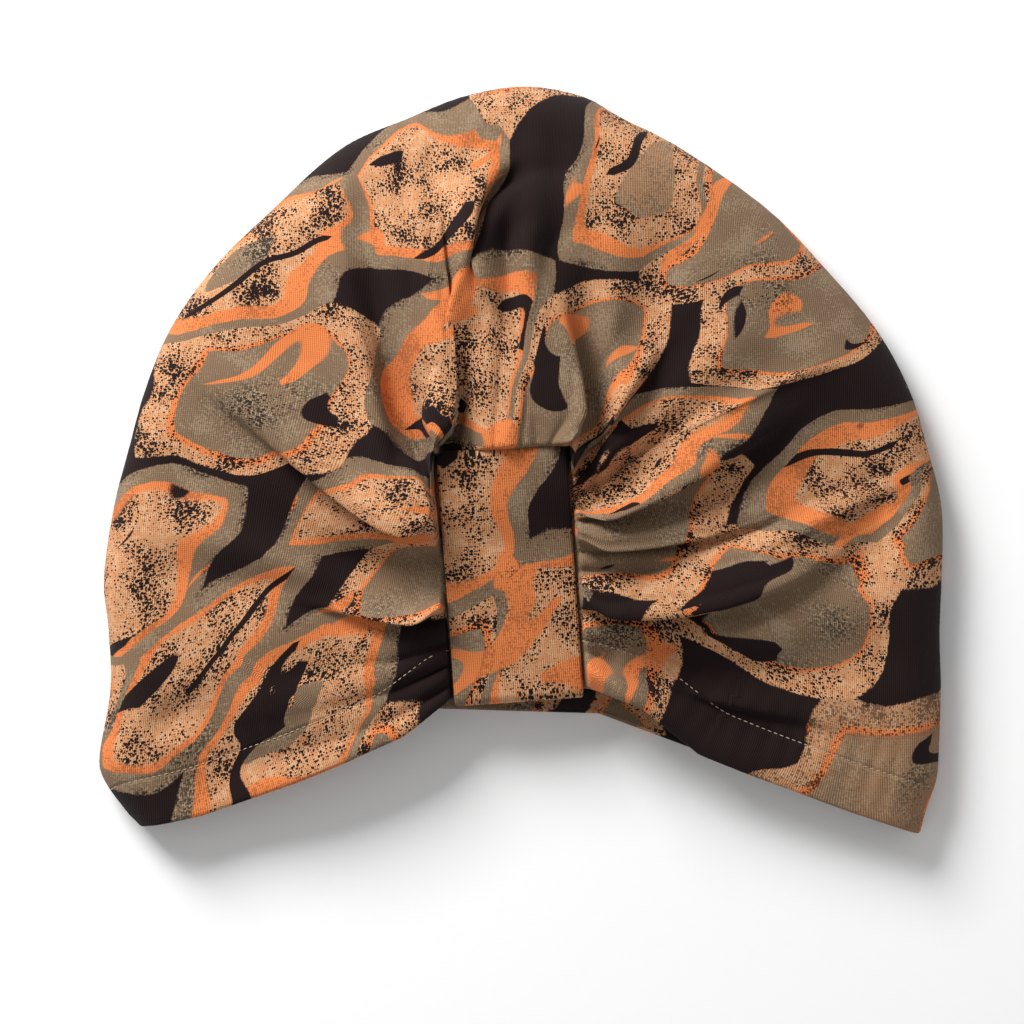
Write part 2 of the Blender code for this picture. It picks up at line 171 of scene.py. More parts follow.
# Where the lines across the cloth run: share of the columns, round the band, round the outline,
# and bow of the line to its left in shares of the length
GUIDES = (
    (0.000, 0.000, 0.000, 0.000),
    (0.100, 0.146, 0.147, 0.000),
    (0.140, 0.192, 0.198, 0.029),
    (0.200, 0.259, 0.272, 0.019),
    (0.300, 0.285, 0.403, 0.040),
    (0.345, 0.320, 0.433, 0.030),
    (0.410, 0.393, 0.456, 0.000),
    (0.580, 0.607, 0.545, 0.000),
    (0.650, 0.615, 0.633, -0.019),
    (0.680, 0.656, 0.670, -0.010),
    (0.720, 0.689, 0.732, 0.010),
    (0.745, 0.702, 0.749, 0.030),
    (0.790, 0.744, 0.802, -0.020),
    (0.870, 0.856, 0.820, -0.045),
    (1.000, 1.000, 1.000, 0.000),
)

# Puffs of the front: name, middle and radii in shares, height in shares of the front level
PUFFS = (
    ("crown", 0.00, 0.74, 0.50, 0.22, 0.95),
    ("left_shoulder", -0.50, 0.55, 0.28, 0.20, 0.35),
    ("right_shoulder", 0.52, 0.55, 0.28, 0.20, 0.35),
    ("left_cheek", -0.62, 0.27, 0.28, 0.14, 0.25),
    ("right_cheek", 0.62, 0.27, 0.30, 0.14, 0.25),
    ("heart", 0.00, 0.42, 0.30, 0.20, 0.50),
)

# Pleats, from the band outwards: name, start, middle, end in shares of half width and length,
# height, left width, right width and lean in pleat units, share of the run over which it rises
PLEATS = (
    ("left_low", (-0.121, 0.308), (-0.335, 0.306), (-0.615, 0.332), 0.65, 0.50, 0.90, 0.4, 0.0),
    ("left_hollow", (-0.133, 0.345), (-0.382, 0.355), (-0.667, 0.426), -0.75, 0.90, 0.90, 0.0, 0.0),
    ("left_tuck", (-0.145, 0.382), (-0.252, 0.406), (-0.344, 0.438), 0.45, 0.50, 0.50, 0.0, 0.0),
    ("left_sweep", (-0.145, 0.399), (-0.420, 0.472), (-0.834, 0.655), 1.10, 0.55, 1.50, 0.5, 0.0),
    ("left_high", (-0.157, 0.409), (-0.306, 0.497), (-0.387, 0.688), 1.00, 0.75, 0.65, 0.2, 0.0),
    ("left_pit", (-0.157, 0.446), (-0.276, 0.527), (-0.292, 0.728), -1.10, 0.70, 0.75, 0.0, 0.0),
    ("left_pleat", (-0.221, 0.440), (-0.202, 0.661), (-0.230, 0.930), 1.05, 1.30, 0.50, 0.5, 0.0),
    ("corner_roll", (-0.164, 0.426), (-0.258, 0.466), (-0.202, 0.520), 0.55, 0.45, 0.45, 0.0, 0.0),
    ("corner_strip", (-0.202, 0.460), (-0.173, 0.594), (-0.093, 0.836), 0.90, 0.45, 0.50, 0.5, 0.0),
    ("centre_crease", (-0.178, 0.487), (-0.150, 0.594), (-0.107, 0.749), -0.70, 0.45, 0.45, 0.0, 0.0),
    ("centre_puff", (-0.031, 0.473), (-0.036, 0.608), (-0.007, 0.782), 0.60, 1.50, 1.40, 0.0, 0.0),
    ("centre_pleat", (0.090, 0.440), (0.107, 0.594), (0.057, 0.742), 0.80, 0.90, 0.50, 0.4, 0.0),
    ("right_pit", (0.140, 0.450), (0.159, 0.608), (0.116, 0.762), -1.10, 0.65, 0.70, 0.0, 0.0),
    ("right_rise", (0.083, 0.465), (0.216, 0.574), (0.349, 0.681), 1.00, 0.65, 0.55, 0.2, 0.0),
    ("thin_ridge", (0.083, 0.449), (0.188, 0.503), (0.306, 0.574), 0.65, 0.45, 0.45, 0.0, 0.0),
    ("slit", (0.083, 0.433), (0.259, 0.480), (0.425, 0.547), -0.80, 0.50, 0.50, 0.0, 0.0),
    ("right_pleat", (0.074, 0.419), (0.387, 0.487), (0.715, 0.597), 1.00, 0.85, 0.50, 0.4, 0.0),
    ("right_ridge", (0.074, 0.402), (0.385, 0.406), (0.810, 0.473), 0.90, 0.60, 0.50, 0.3, 0.0),
    ("right_low", (0.093, 0.317), (0.482, 0.320), (0.865, 0.422), 0.80, 1.10, 0.55, 0.3, 0.0),
    ("foot_roll", (0.107, 0.274), (0.164, 0.258), (0.216, 0.242), 0.40, 0.45, 0.45, 0.0, 0.0),
    ("hem_roll", (0.121, 0.231), (0.240, 0.191), (0.454, 0.121), 0.70, 0.50, 0.55, 0.0, 0.0),
    ("hem_crease", (0.354, 0.199), (0.591, 0.169), (0.912, 0.137), 0.30, 0.80, 0.50, 0.1, 0.3),
    ("side_hollow", (0.943, 0.540), (0.805, 0.386), (0.591, 0.305), -0.45, 1.40, 1.40, 0.0, 0.4),
    ("corner_hollow", (-0.905, 0.117), (-0.786, 0.161), (-0.596, 0.180), -0.25, 0.80, 0.80, 0.0, 0.4),
    ("crown_ridge", (-0.107, 0.715), (-0.107, 0.849), (0.074, 0.919), 0.55, 0.60, 0.50, 0.2, 0.3),
    ("crown_slit", (-0.081, 0.728), (-0.071, 0.831), (0.057, 0.882), -0.50, 0.50, 0.50, 0.0, 0.3),
    ("crown_swag", (-0.021, 0.661), (-0.064, 0.820), (0.216, 0.863), 0.60, 0.55, 0.60, 0.2, 0.3),
    ("crown_swag_low", (0.045, 0.702), (0.045, 0.816), (0.335, 0.868), 0.35, 0.60, 0.60, 0.0, 0.3),
)

# Mesh of the shell: columns round it, rows under the band, up to the outline and back to the rear hem
COLUMNS = 400
UNDER_ROWS = 4
FRONT_ROWS = 78
REAR_ROWS = 16
ROW_CROWDING = 1.5
REAR_CROWDING = 2.2
TURN_ROW = UNDER_ROWS + FRONT_ROWS

# Laying the cloth flat: rounds that even its heading and soften its first layout, how much wider
# that starts, then the rounds and the step of the easing
HEADING_ROUNDS = 40
SOFTEN_ROUNDS = 200
SPREAD = 1.15
LAYING_ROUNDS = 1200
LAYING_STEP = 0.25

# Back of the cloth: share of it over which the front's layout fades, rounds that even a row of it,
# and the rows after which it lies flat
REAR_FADE = 0.7
REAR_ROUNDS = 60
REAR_LIES = 5

# Lining and cut edge: how many points round a fold it keeps under, and how the edge is rounded
LINING_REACH = 8
CORNER_ROUNDS = 6
RIM_STEPS = 4

# Fine steps of the band, its small pulls, and where it was cut from the printed cloth
BAND_ACROSS = 24
EDGE_STEPS = 6
TURN_STEPS = 12
TAIL_STEPS = 7
RUN_STEPS = 30
BAND_PULL = 0.00025
BAND_PULL_PITCH = 0.021
BAND_PULL_SLANT = 0.006
BAND_CUT = (0.555, 0.858, 0.00)

# Least lengths that are divided by
TINY = 1e-12
LEAST_GAP = 1e-9
LEAST_STEP = 1e-6

# Hem stitching: sizes of a stitch, how much they vary, lift in thicknesses, sides and rings
STITCH_PITCH = 0.0021
STITCH_LONG = 0.0014
STITCH_THICK = 0.00030
STITCH_SIZES = {"Stitch pitch": STITCH_PITCH, "Stitch length": STITCH_LONG,
                "Thread thickness": STITCH_THICK}
STITCH_VARIES = 0.08
STITCH_SEED = 5
STITCH_LIFT = 0.25
STITCH_SIDES = 8
STITCH_RINGS = 6

# Seam that the stitches follow: pitch of its points, how many are evened out together,
# and the rows of the front's edge that it leaves out
SEAM_POINT_PITCH = 0.0015
SEAM_EASE = 5
SEAM_STOP = 2

# Colours of the dyes and threads, as light
KHAKI = (0.198, 0.125, 0.073)
BLACK = (0.011, 0.0035, 0.0035)
ORANGE = (0.670, 0.192, 0.057)
PEACH = (0.530, 0.238, 0.106)
PALE_PEACH = (0.600, 0.335, 0.182)
PALE_KHAKI = (0.340, 0.255, 0.165)
INSIDE = (0.52, 0.42, 0.32)
INSIDE_FADE = 0.55
THREAD = (0.36, 0.28, 0.19)
PALE_THREAD = (0.55, 0.45, 0.33)
PAPER = (0.95, 0.95, 0.95)
PALE_PAPER = (0.97, 0.97, 0.97)

# Cloudy variation in the cloth, thread and paper: clouds a metre, detail and roughness
DRIFT_CLOUD = (6.0, 1.0, 0.5)
BEND_CLOUD = (24.0, 1.0, 0.5)
TIDE_CLOUD = (13.0, 1.0, 0.5)
CRUMB_CLOUD = (1300.0, 3.0, 0.65)
BRUSH_CLOUD = (260.0, 2.0, 0.6)
CROWD_CLOUD = (75.0, 2.0, 0.5)
BLEACH_CLOUD = (300.0, 3.0, 0.6)
STROKE_CLOUD = (30.0, 1.0, 0.5)
STROKE_PLACES = (26.0, 0.0, 0.5)
FLECK_CLOUD = (950.0, 2.0, 0.7)
BLOOM_CLOUD = (22.0, 1.0, 0.5)
RIM_CLOUD = (45.0, 2.0, 0.5)
RIB_CLOUD = (30.0, 0.0, 0.5)
FUZZ_CLOUD = (1800.0, 2.0, 0.7)
WEAR_CLOUD = (90.0, 1.0, 0.5)
THREAD_CLOUD = (2500.0, 2.0, 0.6)
PAPER_CLOUD = (220.0, 3.0, 0.6)

# How far the clouds move the print, in metres, and how far they move its edges, in levels
DRIFT = 0.070
BEND = 0.026
TIDE = 0.55
CRUMB = 0.030
BRUSH = 0.020

# Leaves of the print: how many a metre, slant, length to width, scatter, how pointed they are,
# the level of the line between two leaves and how fast it falls away
LEAF_SCALE = 19.0
LEAF_TURN = math.radians(38.0)
LEAF_LONG = 1.7
LEAF_SCATTER = 0.60
LEAF_POINTED = 1.25
LEAF_EDGE = 0.59
LEAF_SIDE = 0.80

# Draws that give a leaf a heart or a vein, and edges of the print: middle of each and its softness
HEARTED = (0.62, 0.01)
VEINED = (0.50, 0.01)
BLEACH_EDGE = (0.52, 0.10)
HEART_EDGE = (0.17, 0.004)
ORANGE_EDGE = (0.42, 0.010)
KHAKI_EDGE = (0.505, 0.004)
VEIN_EDGE = (0.45, 0.004)
VEIN_LINE_EDGE = (0.485, 0.008)
BLACK_EDGE = (0.63, 0.004)
RIM_EDGE = (0.595, 0.02)
RIM_PATCHES = (0.46, 0.05)
FLECK_EDGE = (0.56, 0.03)
BLOOM_EDGE = (0.60, 0.08)
SPECK_EDGE = (0.0, 0.03)
INK_EDGE = (0.003, 0.002)
TINT_EDGE = (0.003, 0.003)

# Shares of the tide that move the edges of the hearts, the khaki, the veins and their line
HEART_TIDE = 0.60
KHAKI_TIDE = 0.15
VEIN_TIDE = 0.30
VEIN_LINE_TIDE = 0.60

# Black specks: how many a metre and their least size, then how they grow in crowds and vary
SPECKS = ((780.0, 0.44), (1200.0, 0.38))
SPECK_GROWTH = 1.4
SPECK_SPREAD = 0.45
SPECK_THIN = 0.65
DUST_THIN = 0.9

# Brush strokes: length to width, widest, taper and raggedness, and where ink starts and tint ends
STROKE_LONG = 2.2
STROKE_WIDE = 0.030
STROKE_TAPER = 0.5
STROKE_RAGGED = 0.3
INK_FROM = 0.56
TINT_UNTIL = 0.42

# Bleached peach and pale flecks: how much the crumbs and crowds move them, and their strength
BLEACH_CRUMB = 0.5
FLECK_CROWD = 0.7
FLECK_PALE = 0.5
FLECK_BLOOM = 0.4

# Knit of the jersey: pitches, wander and height of the ribs, the share of each kind of relief, and how
# strongly the relief paints shade between the ribs and highlight on them
RIB_PITCH = 0.0007
LOOP_PITCH = 0.0009
RIB_WANDER = 0.0006
RIB_HEIGHT = 0.00008
RIB_LEAST = 0.45
RIB_WEAR = 0.60
LOOP_SHARE = 0.12
FUZZ_SHARE = 1.1
# Strength of the painted shade between the ribs and painted highlight on their tops, with random fuzz tone
RIB_SHADE = 0.32

# Hem stitching as it marks the cloth: groove, puckers, and where the rear begins that shows thread
GROOVE_WIDE = 0.0011
GROOVE_DEPTH = 0.00035
PUCKER_PITCH = 0.0072
PUCKER_WIDE = 0.009
PUCKER_HEIGHT = 0.00022
REAR_CLOTH = 0.010
REAR_SOFT = 0.001
THREAD_SOFT = 0.0001

# Overlocked raw edge inside the hem: its swing to and fro, thread and height
OVERLOCK_PITCH = 0.0016
OVERLOCK_WIDE = 0.0032
OVERLOCK_GAP = 0.0006
OVERLOCK_THREAD = 0.00028
OVERLOCK_SOFT = 0.3
OVERLOCK_HEIGHT = 0.0003
INSIDE_SOFT = 0.0002

# Finish of each material: roughness, how much its relief changes that, and sheen
JERSEY_FINISH = (0.86, 0.08, 0.03)
INSIDE_FINISH = (0.92, 0.05, 0.10)
THREAD_FINISH = (0.70, 0.10, 0.20)
PAPER_FINISH = (0.80, 0.05, 0.00)
SHEEN_ROUGH = 0.6
SPECULAR = 0.15
THREAD_FUZZ = 0.00008
PAPER_GRAIN = 0.00002

# Room, and its lights: name, place, size and power
FLOOR_SIZE = 8.0
ROOM_LIGHT = 0.44
LIGHTS = (
    ("window_light", (-0.80, 1.10, 0.85), 0.7, 37.0),
)

# Photograph's view
CAMERA_HEIGHT = 1.30
CAMERA_AIM = (-0.0030, -0.0173)
VIEW_WIDTH = 0.3405
SENSOR = 36.0
NEAREST_SEEN = 0.01


def smooth(share):
    """Ease from nought to one."""
    t = np.clip(share, 0.0, 1.0)
    return t * t * (3.0 - 2.0 * t)


def unit(vectors):
    """The same vectors at a length of one."""
    return vectors / np.maximum(np.linalg.norm(vectors, axis=-1, keepdims=True), TINY)


def to_plan(shares):
    """Turn shares of half width and length into metres, middle of the length at nought."""
    return np.asarray(shares, float) * (HALF_WIDTH, LENGTH) - (0.0, LENGTH / 2)


def even_line(line, count):
    """The same line with its points evenly spaced along it."""
    length = np.concatenate([[0.0], np.cumsum(np.linalg.norm(np.diff(line, axis=0), axis=1))])
    wanted = np.linspace(0.0, length[-1], count)
    return np.column_stack([np.interp(wanted, length, line[:, i]) for i in range(line.shape[1])])


def rounded_line(corners, count):
    """Evenly spaced points on a smooth line through the corners."""
    pts = np.vstack([2 * corners[0] - corners[1], corners, 2 * corners[-1] - corners[-2]])
    spans = len(corners) - 1
    where = np.linspace(0, spans, count * 2)
    span = np.minimum(where.astype(int), spans - 1)
    t = (where - span)[:, None]
    a, b, c, d = pts[span], pts[span + 1], pts[span + 2], pts[span + 3]
    line = 0.5 * (2 * b + (c - a) * t + (2 * a - 5 * b + 4 * c - d) * t**2
                  + (3 * b - a - 3 * c + d) * t**3)
    return even_line(line, count)


def at_share(line, share):
    """Points at shares of the way along an evenly spaced line."""
    steps = np.linspace(0.0, 1.0, len(line))
    return np.column_stack([np.interp(share, steps, line[:, i]) for i in range(2)])


def outline_line():
    """Outline in plan from the left tip over the crown to the right tip."""
    left = [(row[1], row[0]) for row in OUTLINE]
    right = [(row[2], row[0]) for row in reversed(OUTLINE)]
    corners = to_plan([LEFT_TIP] + left + [CROWN_TIP] + right + [RIGHT_TIP])
    return rounded_line(corners, OUTLINE_STEPS)


def band_to_plan(across, along):
    """Plan point of a place on the band, measured from the middle of its foot."""
    foot = to_plan(BAND_FOOT)
    x = foot[0] + across * math.cos(BAND_TILT) - along * math.sin(BAND_TILT)
    y = foot[1] + across * math.sin(BAND_TILT) + along * math.cos(BAND_TILT)
    return np.stack([x, y], axis=-1)


def plan_to_band(spots):
    """Across and along the band for plan points."""
    away = spots - to_plan(BAND_FOOT)
    across = away[..., 0] * math.cos(BAND_TILT) + away[..., 1] * math.sin(BAND_TILT)
    along = away[..., 1] * math.cos(BAND_TILT) - away[..., 0] * math.sin(BAND_TILT)
    return across, along


def hub_height(across, along):
    """Height of the gathered cloth that the band holds."""
    reach = np.clip(across / (BAND_WIDTH / 2 + BAND_MARGIN), -1, 1)
    climb = np.clip(along, 0.0, BAND_LENGTH + BAND_MARGIN) / BAND_LENGTH
    return HUB_LOW + (HUB_HIGH - HUB_LOW) * climb + HUB_ARCH * (1 - reach**2)


def band_ring():
    """Line just outside the band: up its left side, over its top, down its right side."""
    side = BAND_WIDTH / 2 + BAND_MARGIN
    top = BAND_LENGTH + BAND_MARGIN
    corners = np.array([(-side, 0.0), (-side, top), (side, top), (side, 0.0)])
    sides = [np.linspace(near, far, SIDE_STEPS) for near, far in zip(corners[:-1], corners[1:])]
    line = even_line(np.vstack(sides), OUTLINE_STEPS)
    return band_to_plan(line[:, 0], line[:, 1])


def beyond_band(spots):
    """Distance of plan points outside the line round the band."""
    across, along = plan_to_band(spots)
    side = np.maximum(np.abs(across) - BAND_WIDTH / 2 - BAND_MARGIN, 0.0)
    top = np.maximum(along - BAND_LENGTH - BAND_MARGIN, 0.0)
    return np.hypot(side, top)


def distance_to(spots, line):
    """Least plan distance from each point to a dense line."""
    nearest = np.full(len(spots), np.inf)
    for spot in line:
        gap = spots - spot
        nearest = np.minimum(nearest, np.sqrt(gap[:, 0]**2 + gap[:, 1]**2))
    return nearest


def front_spots(share, way):
    """Plan points of the front: column share, and share of the way from band to outline."""
    guide = np.array(GUIDES)
    start = at_share(band_ring(), np.interp(share, guide[:, 0], guide[:, 1]))
    end = at_share(outline_line(), np.interp(share, guide[:, 0], guide[:, 2]))
    run = end - start
    side = unit(np.column_stack([-run[:, 1], run[:, 0]]))
    bow = LENGTH * np.interp(share, guide[:, 0], guide[:, 3]) * 4 * way * (1 - way)
    spots = start + run * way[:, None] + side * bow[:, None]
    drop = np.array(HEM_DROP)
    left = np.interp(way, drop[:, 0], drop[:, 1]) * np.clip(1 - share / HEM_DROP_SPAN, 0, 1) ** 2
    right = np.interp(way, drop[:, 0], drop[:, 2]) * np.clip(1 - (1 - share) / HEM_DROP_SPAN, 0, 1) ** 2
    spots[:, 1] -= LENGTH * (left + right)
    return spots


def under_band_spots(share, way):
    """Plan points of the front under the band, from its hem to the line round the band."""
    guide = np.array(GUIDES)
    end = at_share(band_ring(), np.interp(share, guide[:, 0], guide[:, 1]))
    reach = BAND_WIDTH / 2 - BAND_MARGIN
    start = band_to_plan((2 * share - 1) * reach, 0.0 * share)
    return start + (end - start) * way[:, None]


def rear_spots(share, way):
    """Plan points of the back, from the outline to the rear hem."""
    guide = np.array(GUIDES)
    start = at_share(outline_line(), np.interp(share, guide[:, 0], guide[:, 2]))
    left = to_plan(BACK_HEM_LEFT)
    right = to_plan(BACK_HEM_RIGHT)
    end = left + (right - left) * share[:, None]
    return start + (end - start) * way[:, None]


def front_rise(spots, edge):
    """Free height of the front without its pleats."""
    shares = (spots + (0.0, LENGTH / 2)) / (HALF_WIDTH, LENGTH)
    level = np.ones(len(spots))
    for _, u, v, wide, high, rise in PUFFS:
        away = ((shares[:, 0] - u) / wide) ** 2 + ((shares[:, 1] - v) / high) ** 2
        level += rise * np.exp(-away)
    roll = np.sqrt(1 - (1 - np.minimum(edge / FRONT_ROLL, 1.0)) ** 2)
    return EDGE_HEIGHT + (FRONT_LEVEL * level - EDGE_HEIGHT) * roll


def pleat_push(spots, row):
    """Rise and sideways push of one pleat at plan points."""
    _, start, middle, end, height, left, right, lean, rise = row
    t = np.linspace(0.0, 1.0, RIDGE_STEPS)[:, None]
    a, m, c = to_plan(start), to_plan(middle), to_plan(end)
    ridge = a * (1 - t) * (1 - 2 * t) + m * 4 * t * (1 - t) + c * t * (2 * t - 1)
    along = unit(np.gradient(ridge, axis=0))
    gaps = spots[:, None, :] - ridge[None, :, :]
    near = np.argmin((gaps**2).sum(axis=2), axis=1)
    away = gaps[np.arange(len(spots)), near]
    heading = along[near]
    side = np.stack([-heading[:, 1], heading[:, 0]], axis=1)
    across = (away * side).sum(axis=1)
    beyond = (away * heading).sum(axis=1)
    place = np.clip(near / (RIDGE_STEPS - 1) + beyond / PLEAT_TIP, 0.0, 1.0)
    wide = np.where(across > 0, left, right) * PLEAT * (PLEAT_NARROW + PLEAT_SPREAD * place)
    tucked = (across > 0) == (left < right)
    wide *= np.where(tucked & (lean > 0), TUCK_SHARE, 1.0)
    round_top = ROLL_SHAPE if height > 0 else SLIT_SHAPE
    profile = np.cos(np.pi / 2 * np.clip(np.abs(across) / wide, 0, 1)) ** round_top
    profile *= (1 - smooth(place) ** PLEAT_HOLD) * (1 - smooth(-beyond * (near == 0) / PLEAT_ROOT))
    if rise > 0:
        profile *= smooth(place / rise)
    towards = 1.0 if left < right else -1.0
    push = side * (towards * lean * PLEAT_LEAN * PLEAT * profile)[:, None]
    return height * PLEAT_RISE * profile, push


def ripples(spots):
    """Soft unevenness of limp cloth, as a sum of seeded waves."""
    dice = np.random.default_rng(RIPPLE_SEED)
    total = np.zeros(len(spots))
    for length, height in RIPPLES:
        for _ in range(RIPPLE_WAVES):
            turn = dice.uniform(0, 2 * np.pi)
            pitch = length * dice.uniform(*RIPPLE_VARIES)
            phase = dice.uniform(0, 2 * np.pi)
            run = spots @ np.array([math.cos(turn), math.sin(turn)])
            total += height / math.sqrt(RIPPLE_WAVES / 2) * np.sin(2 * np.pi * run / pitch + phase)
    return total


def swells(share, way):
    """Long soft swells that run with the cloth from the band to the edge."""
    total = np.zeros(len(share))
    for waves, height, turn in SWELLS:
        total += height * np.sin(2 * np.pi * waves * share + turn + SWELL_SLANT * way)
    return total * np.sin(np.pi * np.clip(way, 0.0, 1.0)) ** SWELL_SHAPE


def wave(run, swing):
    """Unevenness along a run, from its amount, length and starting turn."""
    amount, length, turn = swing
    return amount * np.sin(run / length + turn)


def gathers(share, way, outside):
    """Small gathers that run out from the band and die away."""
    guide = np.array(GUIDES)
    girth = 2 * BAND_LENGTH + BAND_WIDTH
    round_band = np.interp(share, guide[:, 0], guide[:, 1]) * girth
    phase = round_band / GATHER_PITCH * np.pi + way * wave(round_band, GATHER_FAN)
    for swing in GATHER_DRIFT:
        phase = phase + wave(round_band, swing)
    strength = 1 - GATHER_STRENGTH[0] + wave(round_band, GATHER_STRENGTH)
    ridge = np.sqrt(np.abs(np.sin(phase)) + GATHER_ROUND)
    far = GATHER_REACH * (1 + wave(round_band, GATHER_ENDS))
    fade = np.exp(-(way / far) ** GATHER_FADE) * smooth(outside / PLEAT_START)
    return GATHER_HEIGHT * ridge * strength * fade


def front_surface(share, way, spots, outline):
    """Outer points of the front, with the pleats raised and leant over."""
    edge = distance_to(spots, outline)
    outside = beyond_band(spots)
    free = smooth(outside / BAND_EASE)
    hold = smooth(outside / PLEAT_START) * smooth(edge / PLEAT_FADE)
    rise = np.zeros(len(spots))
    push = np.zeros_like(spots)
    for row in PLEATS:
        height, sideways = pleat_push(spots, row)
        rise += height
        push += sideways
    rise = PLEAT_CAP * np.tanh(rise / PLEAT_CAP)
    rise = np.maximum(rise, -WALL - PIT_SLOPE * outside)
    across, along = plan_to_band(spots)
    tall = hub_height(across, along) * (1 - free) + front_rise(spots, edge) * free + rise * hold
    tall += gathers(share, way, outside)
    tall += (ripples(spots) + swells(share, way)) * free * smooth(edge / PLEAT_FADE)
    return np.column_stack([spots + push * (hold * smooth(outside / LEAN_START))[:, None], tall])


def rear_surface(spots, outline):
    """Outer points of the back, flat where it lies and rolled up to the edge."""
    edge = distance_to(spots, outline)
    roll = np.sqrt(1 - (1 - np.minimum(edge / BACK_ROLL, 1.0)) ** 2)
    return np.column_stack([spots, EDGE_HEIGHT * (1 - roll)])


def row_shares():
    """Shares of the way for the rows under the band, from band to outline, and on to the rear hem."""
    under = np.linspace(0.0, 1.0, UNDER_ROWS + 1)[:-1]
    t = np.linspace(0.0, 1.0, FRONT_ROWS + 1)[:-1]
    start = t ** ROW_CROWDING
    front = np.where(t < 0.5, start / 0.5 ** ROW_CROWDING * 0.5, 1 - (2 * (1 - t)) ** ROW_CROWDING / 2)
    rear = np.linspace(0.0, 1.0, REAR_ROWS + 1) ** REAR_CROWDING
    return under, front, rear


def shell_points():
    """Outer points of the whole shell, from front hem to rear hem, row by row."""
    outline = outline_line()
    share = np.linspace(0.0, 1.0, COLUMNS + 1)
    under, front, rear = row_shares()
    rows = []
    for way in under:
        spots = under_band_spots(share, np.full(len(share), way))
        rows.append(front_surface(share, np.zeros(len(share)), spots, outline))
    for way in front:
        ways = np.full(len(share), way)
        rows.append(front_surface(share, ways, front_spots(share, ways), outline))
    for way in rear:
        rows.append(rear_surface(rear_spots(share, np.full(len(share), way)), outline))
    return np.array(rows)


def eased(values, rounds):
    """Values smoothed along the columns, their two ends kept."""
    for _ in range(rounds):
        values[1:-1] = (values[:-2] + values[1:-1] * 2 + values[2:]) / 4
    return values


def softened(flat, rounds):
    """A layout smoothed both ways, its corners kept."""
    flat = flat.copy()
    for _ in range(rounds):
        flat[1:-1] = (flat[:-2] + flat[1:-1] * 2 + flat[2:]) / 4
        flat[:, 1:-1] = (flat[:, :-2] + flat[:, 1:-1] * 2 + flat[:, 2:]) / 4
    return flat


def lay_flat(flat, points):
    """Ease a flat layout until its points lie as far apart as they do on the cloth."""
    sides = (((slice(None), slice(None, -1)), (slice(None), slice(1, None))),
             ((slice(None, -1), slice(None)), (slice(1, None), slice(None))),
             ((slice(None, -1), slice(None, -1)), (slice(1, None), slice(1, None))),
             ((slice(None, -1), slice(1, None)), (slice(1, None), slice(None, -1))))
    ties = [(a, b, np.linalg.norm(points[b] - points[a], axis=2)) for a, b in sides]
    flat = flat.copy()
    for _ in range(LAYING_ROUNDS):
        push = np.zeros(flat.shape)
        for a, b, length in ties:
            gap = flat[b] - flat[a]
            now = np.maximum(np.sqrt(gap[..., 0]**2 + gap[..., 1]**2), LEAST_GAP)
            pull = gap * ((now - length) / now / 2)[..., None]
            push[a] += pull
            push[b] -= pull
        flat += push * LAYING_STEP
    return flat


def unfolded(points):
    """How far the cloth that its folds take up pushes every point out, as a first layout."""
    pushed = np.zeros(points.shape[:2] + (2,))
    for row in range(UNDER_ROWS, TURN_ROW):
        step = points[row + 1] - points[row]
        reach = np.maximum(np.linalg.norm(step[:, :2], axis=1), LEAST_STEP)
        longer = (np.linalg.norm(step, axis=1) - reach) / reach
        pushed[row + 1] = pushed[row] + step[:, :2] * longer[:, None]
    heading = np.gradient(points[:, :, :2], axis=1)
    for row in range(len(points)):
        heading[row] = eased(heading[row], HEADING_ROUNDS)
    heading = unit(heading)
    aside = np.diff(points, axis=1)
    between = (heading[:, 1:] + heading[:, :-1]) / 2
    spare = np.linalg.norm(aside, axis=2) - (aside[:, :, :2] * between).sum(axis=2)
    taken = np.concatenate([np.zeros((len(points), 1)), np.cumsum(spare, axis=1)], axis=1)
    taken -= taken[:, COLUMNS // 2][:, None]
    return pushed + heading * taken[..., None]


def cut_cloth(points):
    """Place of every point on the flat cut cloth, so that print and knit follow the folds."""
    plan = points[:, :, :2]
    pushed = unfolded(points)
    front = slice(UNDER_ROWS, TURN_ROW + 1)
    start = softened((plan + pushed)[front], SOFTEN_ROUNDS) * SPREAD
    pushed[front] = lay_flat(start, points[front]) - plan[front]
    middle = pushed[TURN_ROW].mean(axis=0)
    for row in range(TURN_ROW + 1, len(points)):
        gone = smooth((row - TURN_ROW) / REAR_ROWS / REAR_FADE)
        even = eased(pushed[row - 1].copy(), REAR_ROUNDS)
        pushed[row] = even * (1 - gone) + middle * gone
    flat = np.zeros(points.shape)
    flat[:, :, :2] = plan + pushed
    inward = np.linalg.norm(np.diff(plan[TURN_ROW:], axis=0), axis=2)
    flat[TURN_ROW + 1:, :, 2] = np.cumsum(inward, axis=0)
    return flat


def hem_lines(points):
    """Plan lines of the front hem and of the rear hem."""
    plan = points[:, :, :2]
    front = np.vstack([plan[TURN_ROW::-1, 0], plan[0], plan[:TURN_ROW + 1, -1]])
    rear = np.vstack([plan[TURN_ROW:, 0], plan[-1], plan[:TURN_ROW - 1:-1, -1]])
    return even_line(front, OUTLINE_STEPS), even_line(rear, OUTLINE_STEPS)


def along_hem(spots, line):
    """Distance from a dense hem line, how far along it the nearest point lies, and the way there."""
    nearest = np.full(len(spots), np.inf)
    place = np.zeros(len(spots), int)
    for index, spot in enumerate(line):
        gap = np.hypot(spots[:, 0] - spot[0], spots[:, 1] - spot[1])
        closer = gap < nearest
        nearest[closer] = gap[closer]
        place[closer] = index
    step = np.linalg.norm(np.diff(line, axis=0), axis=1).mean()
    return np.column_stack([nearest, place * step, line[place] - spots])


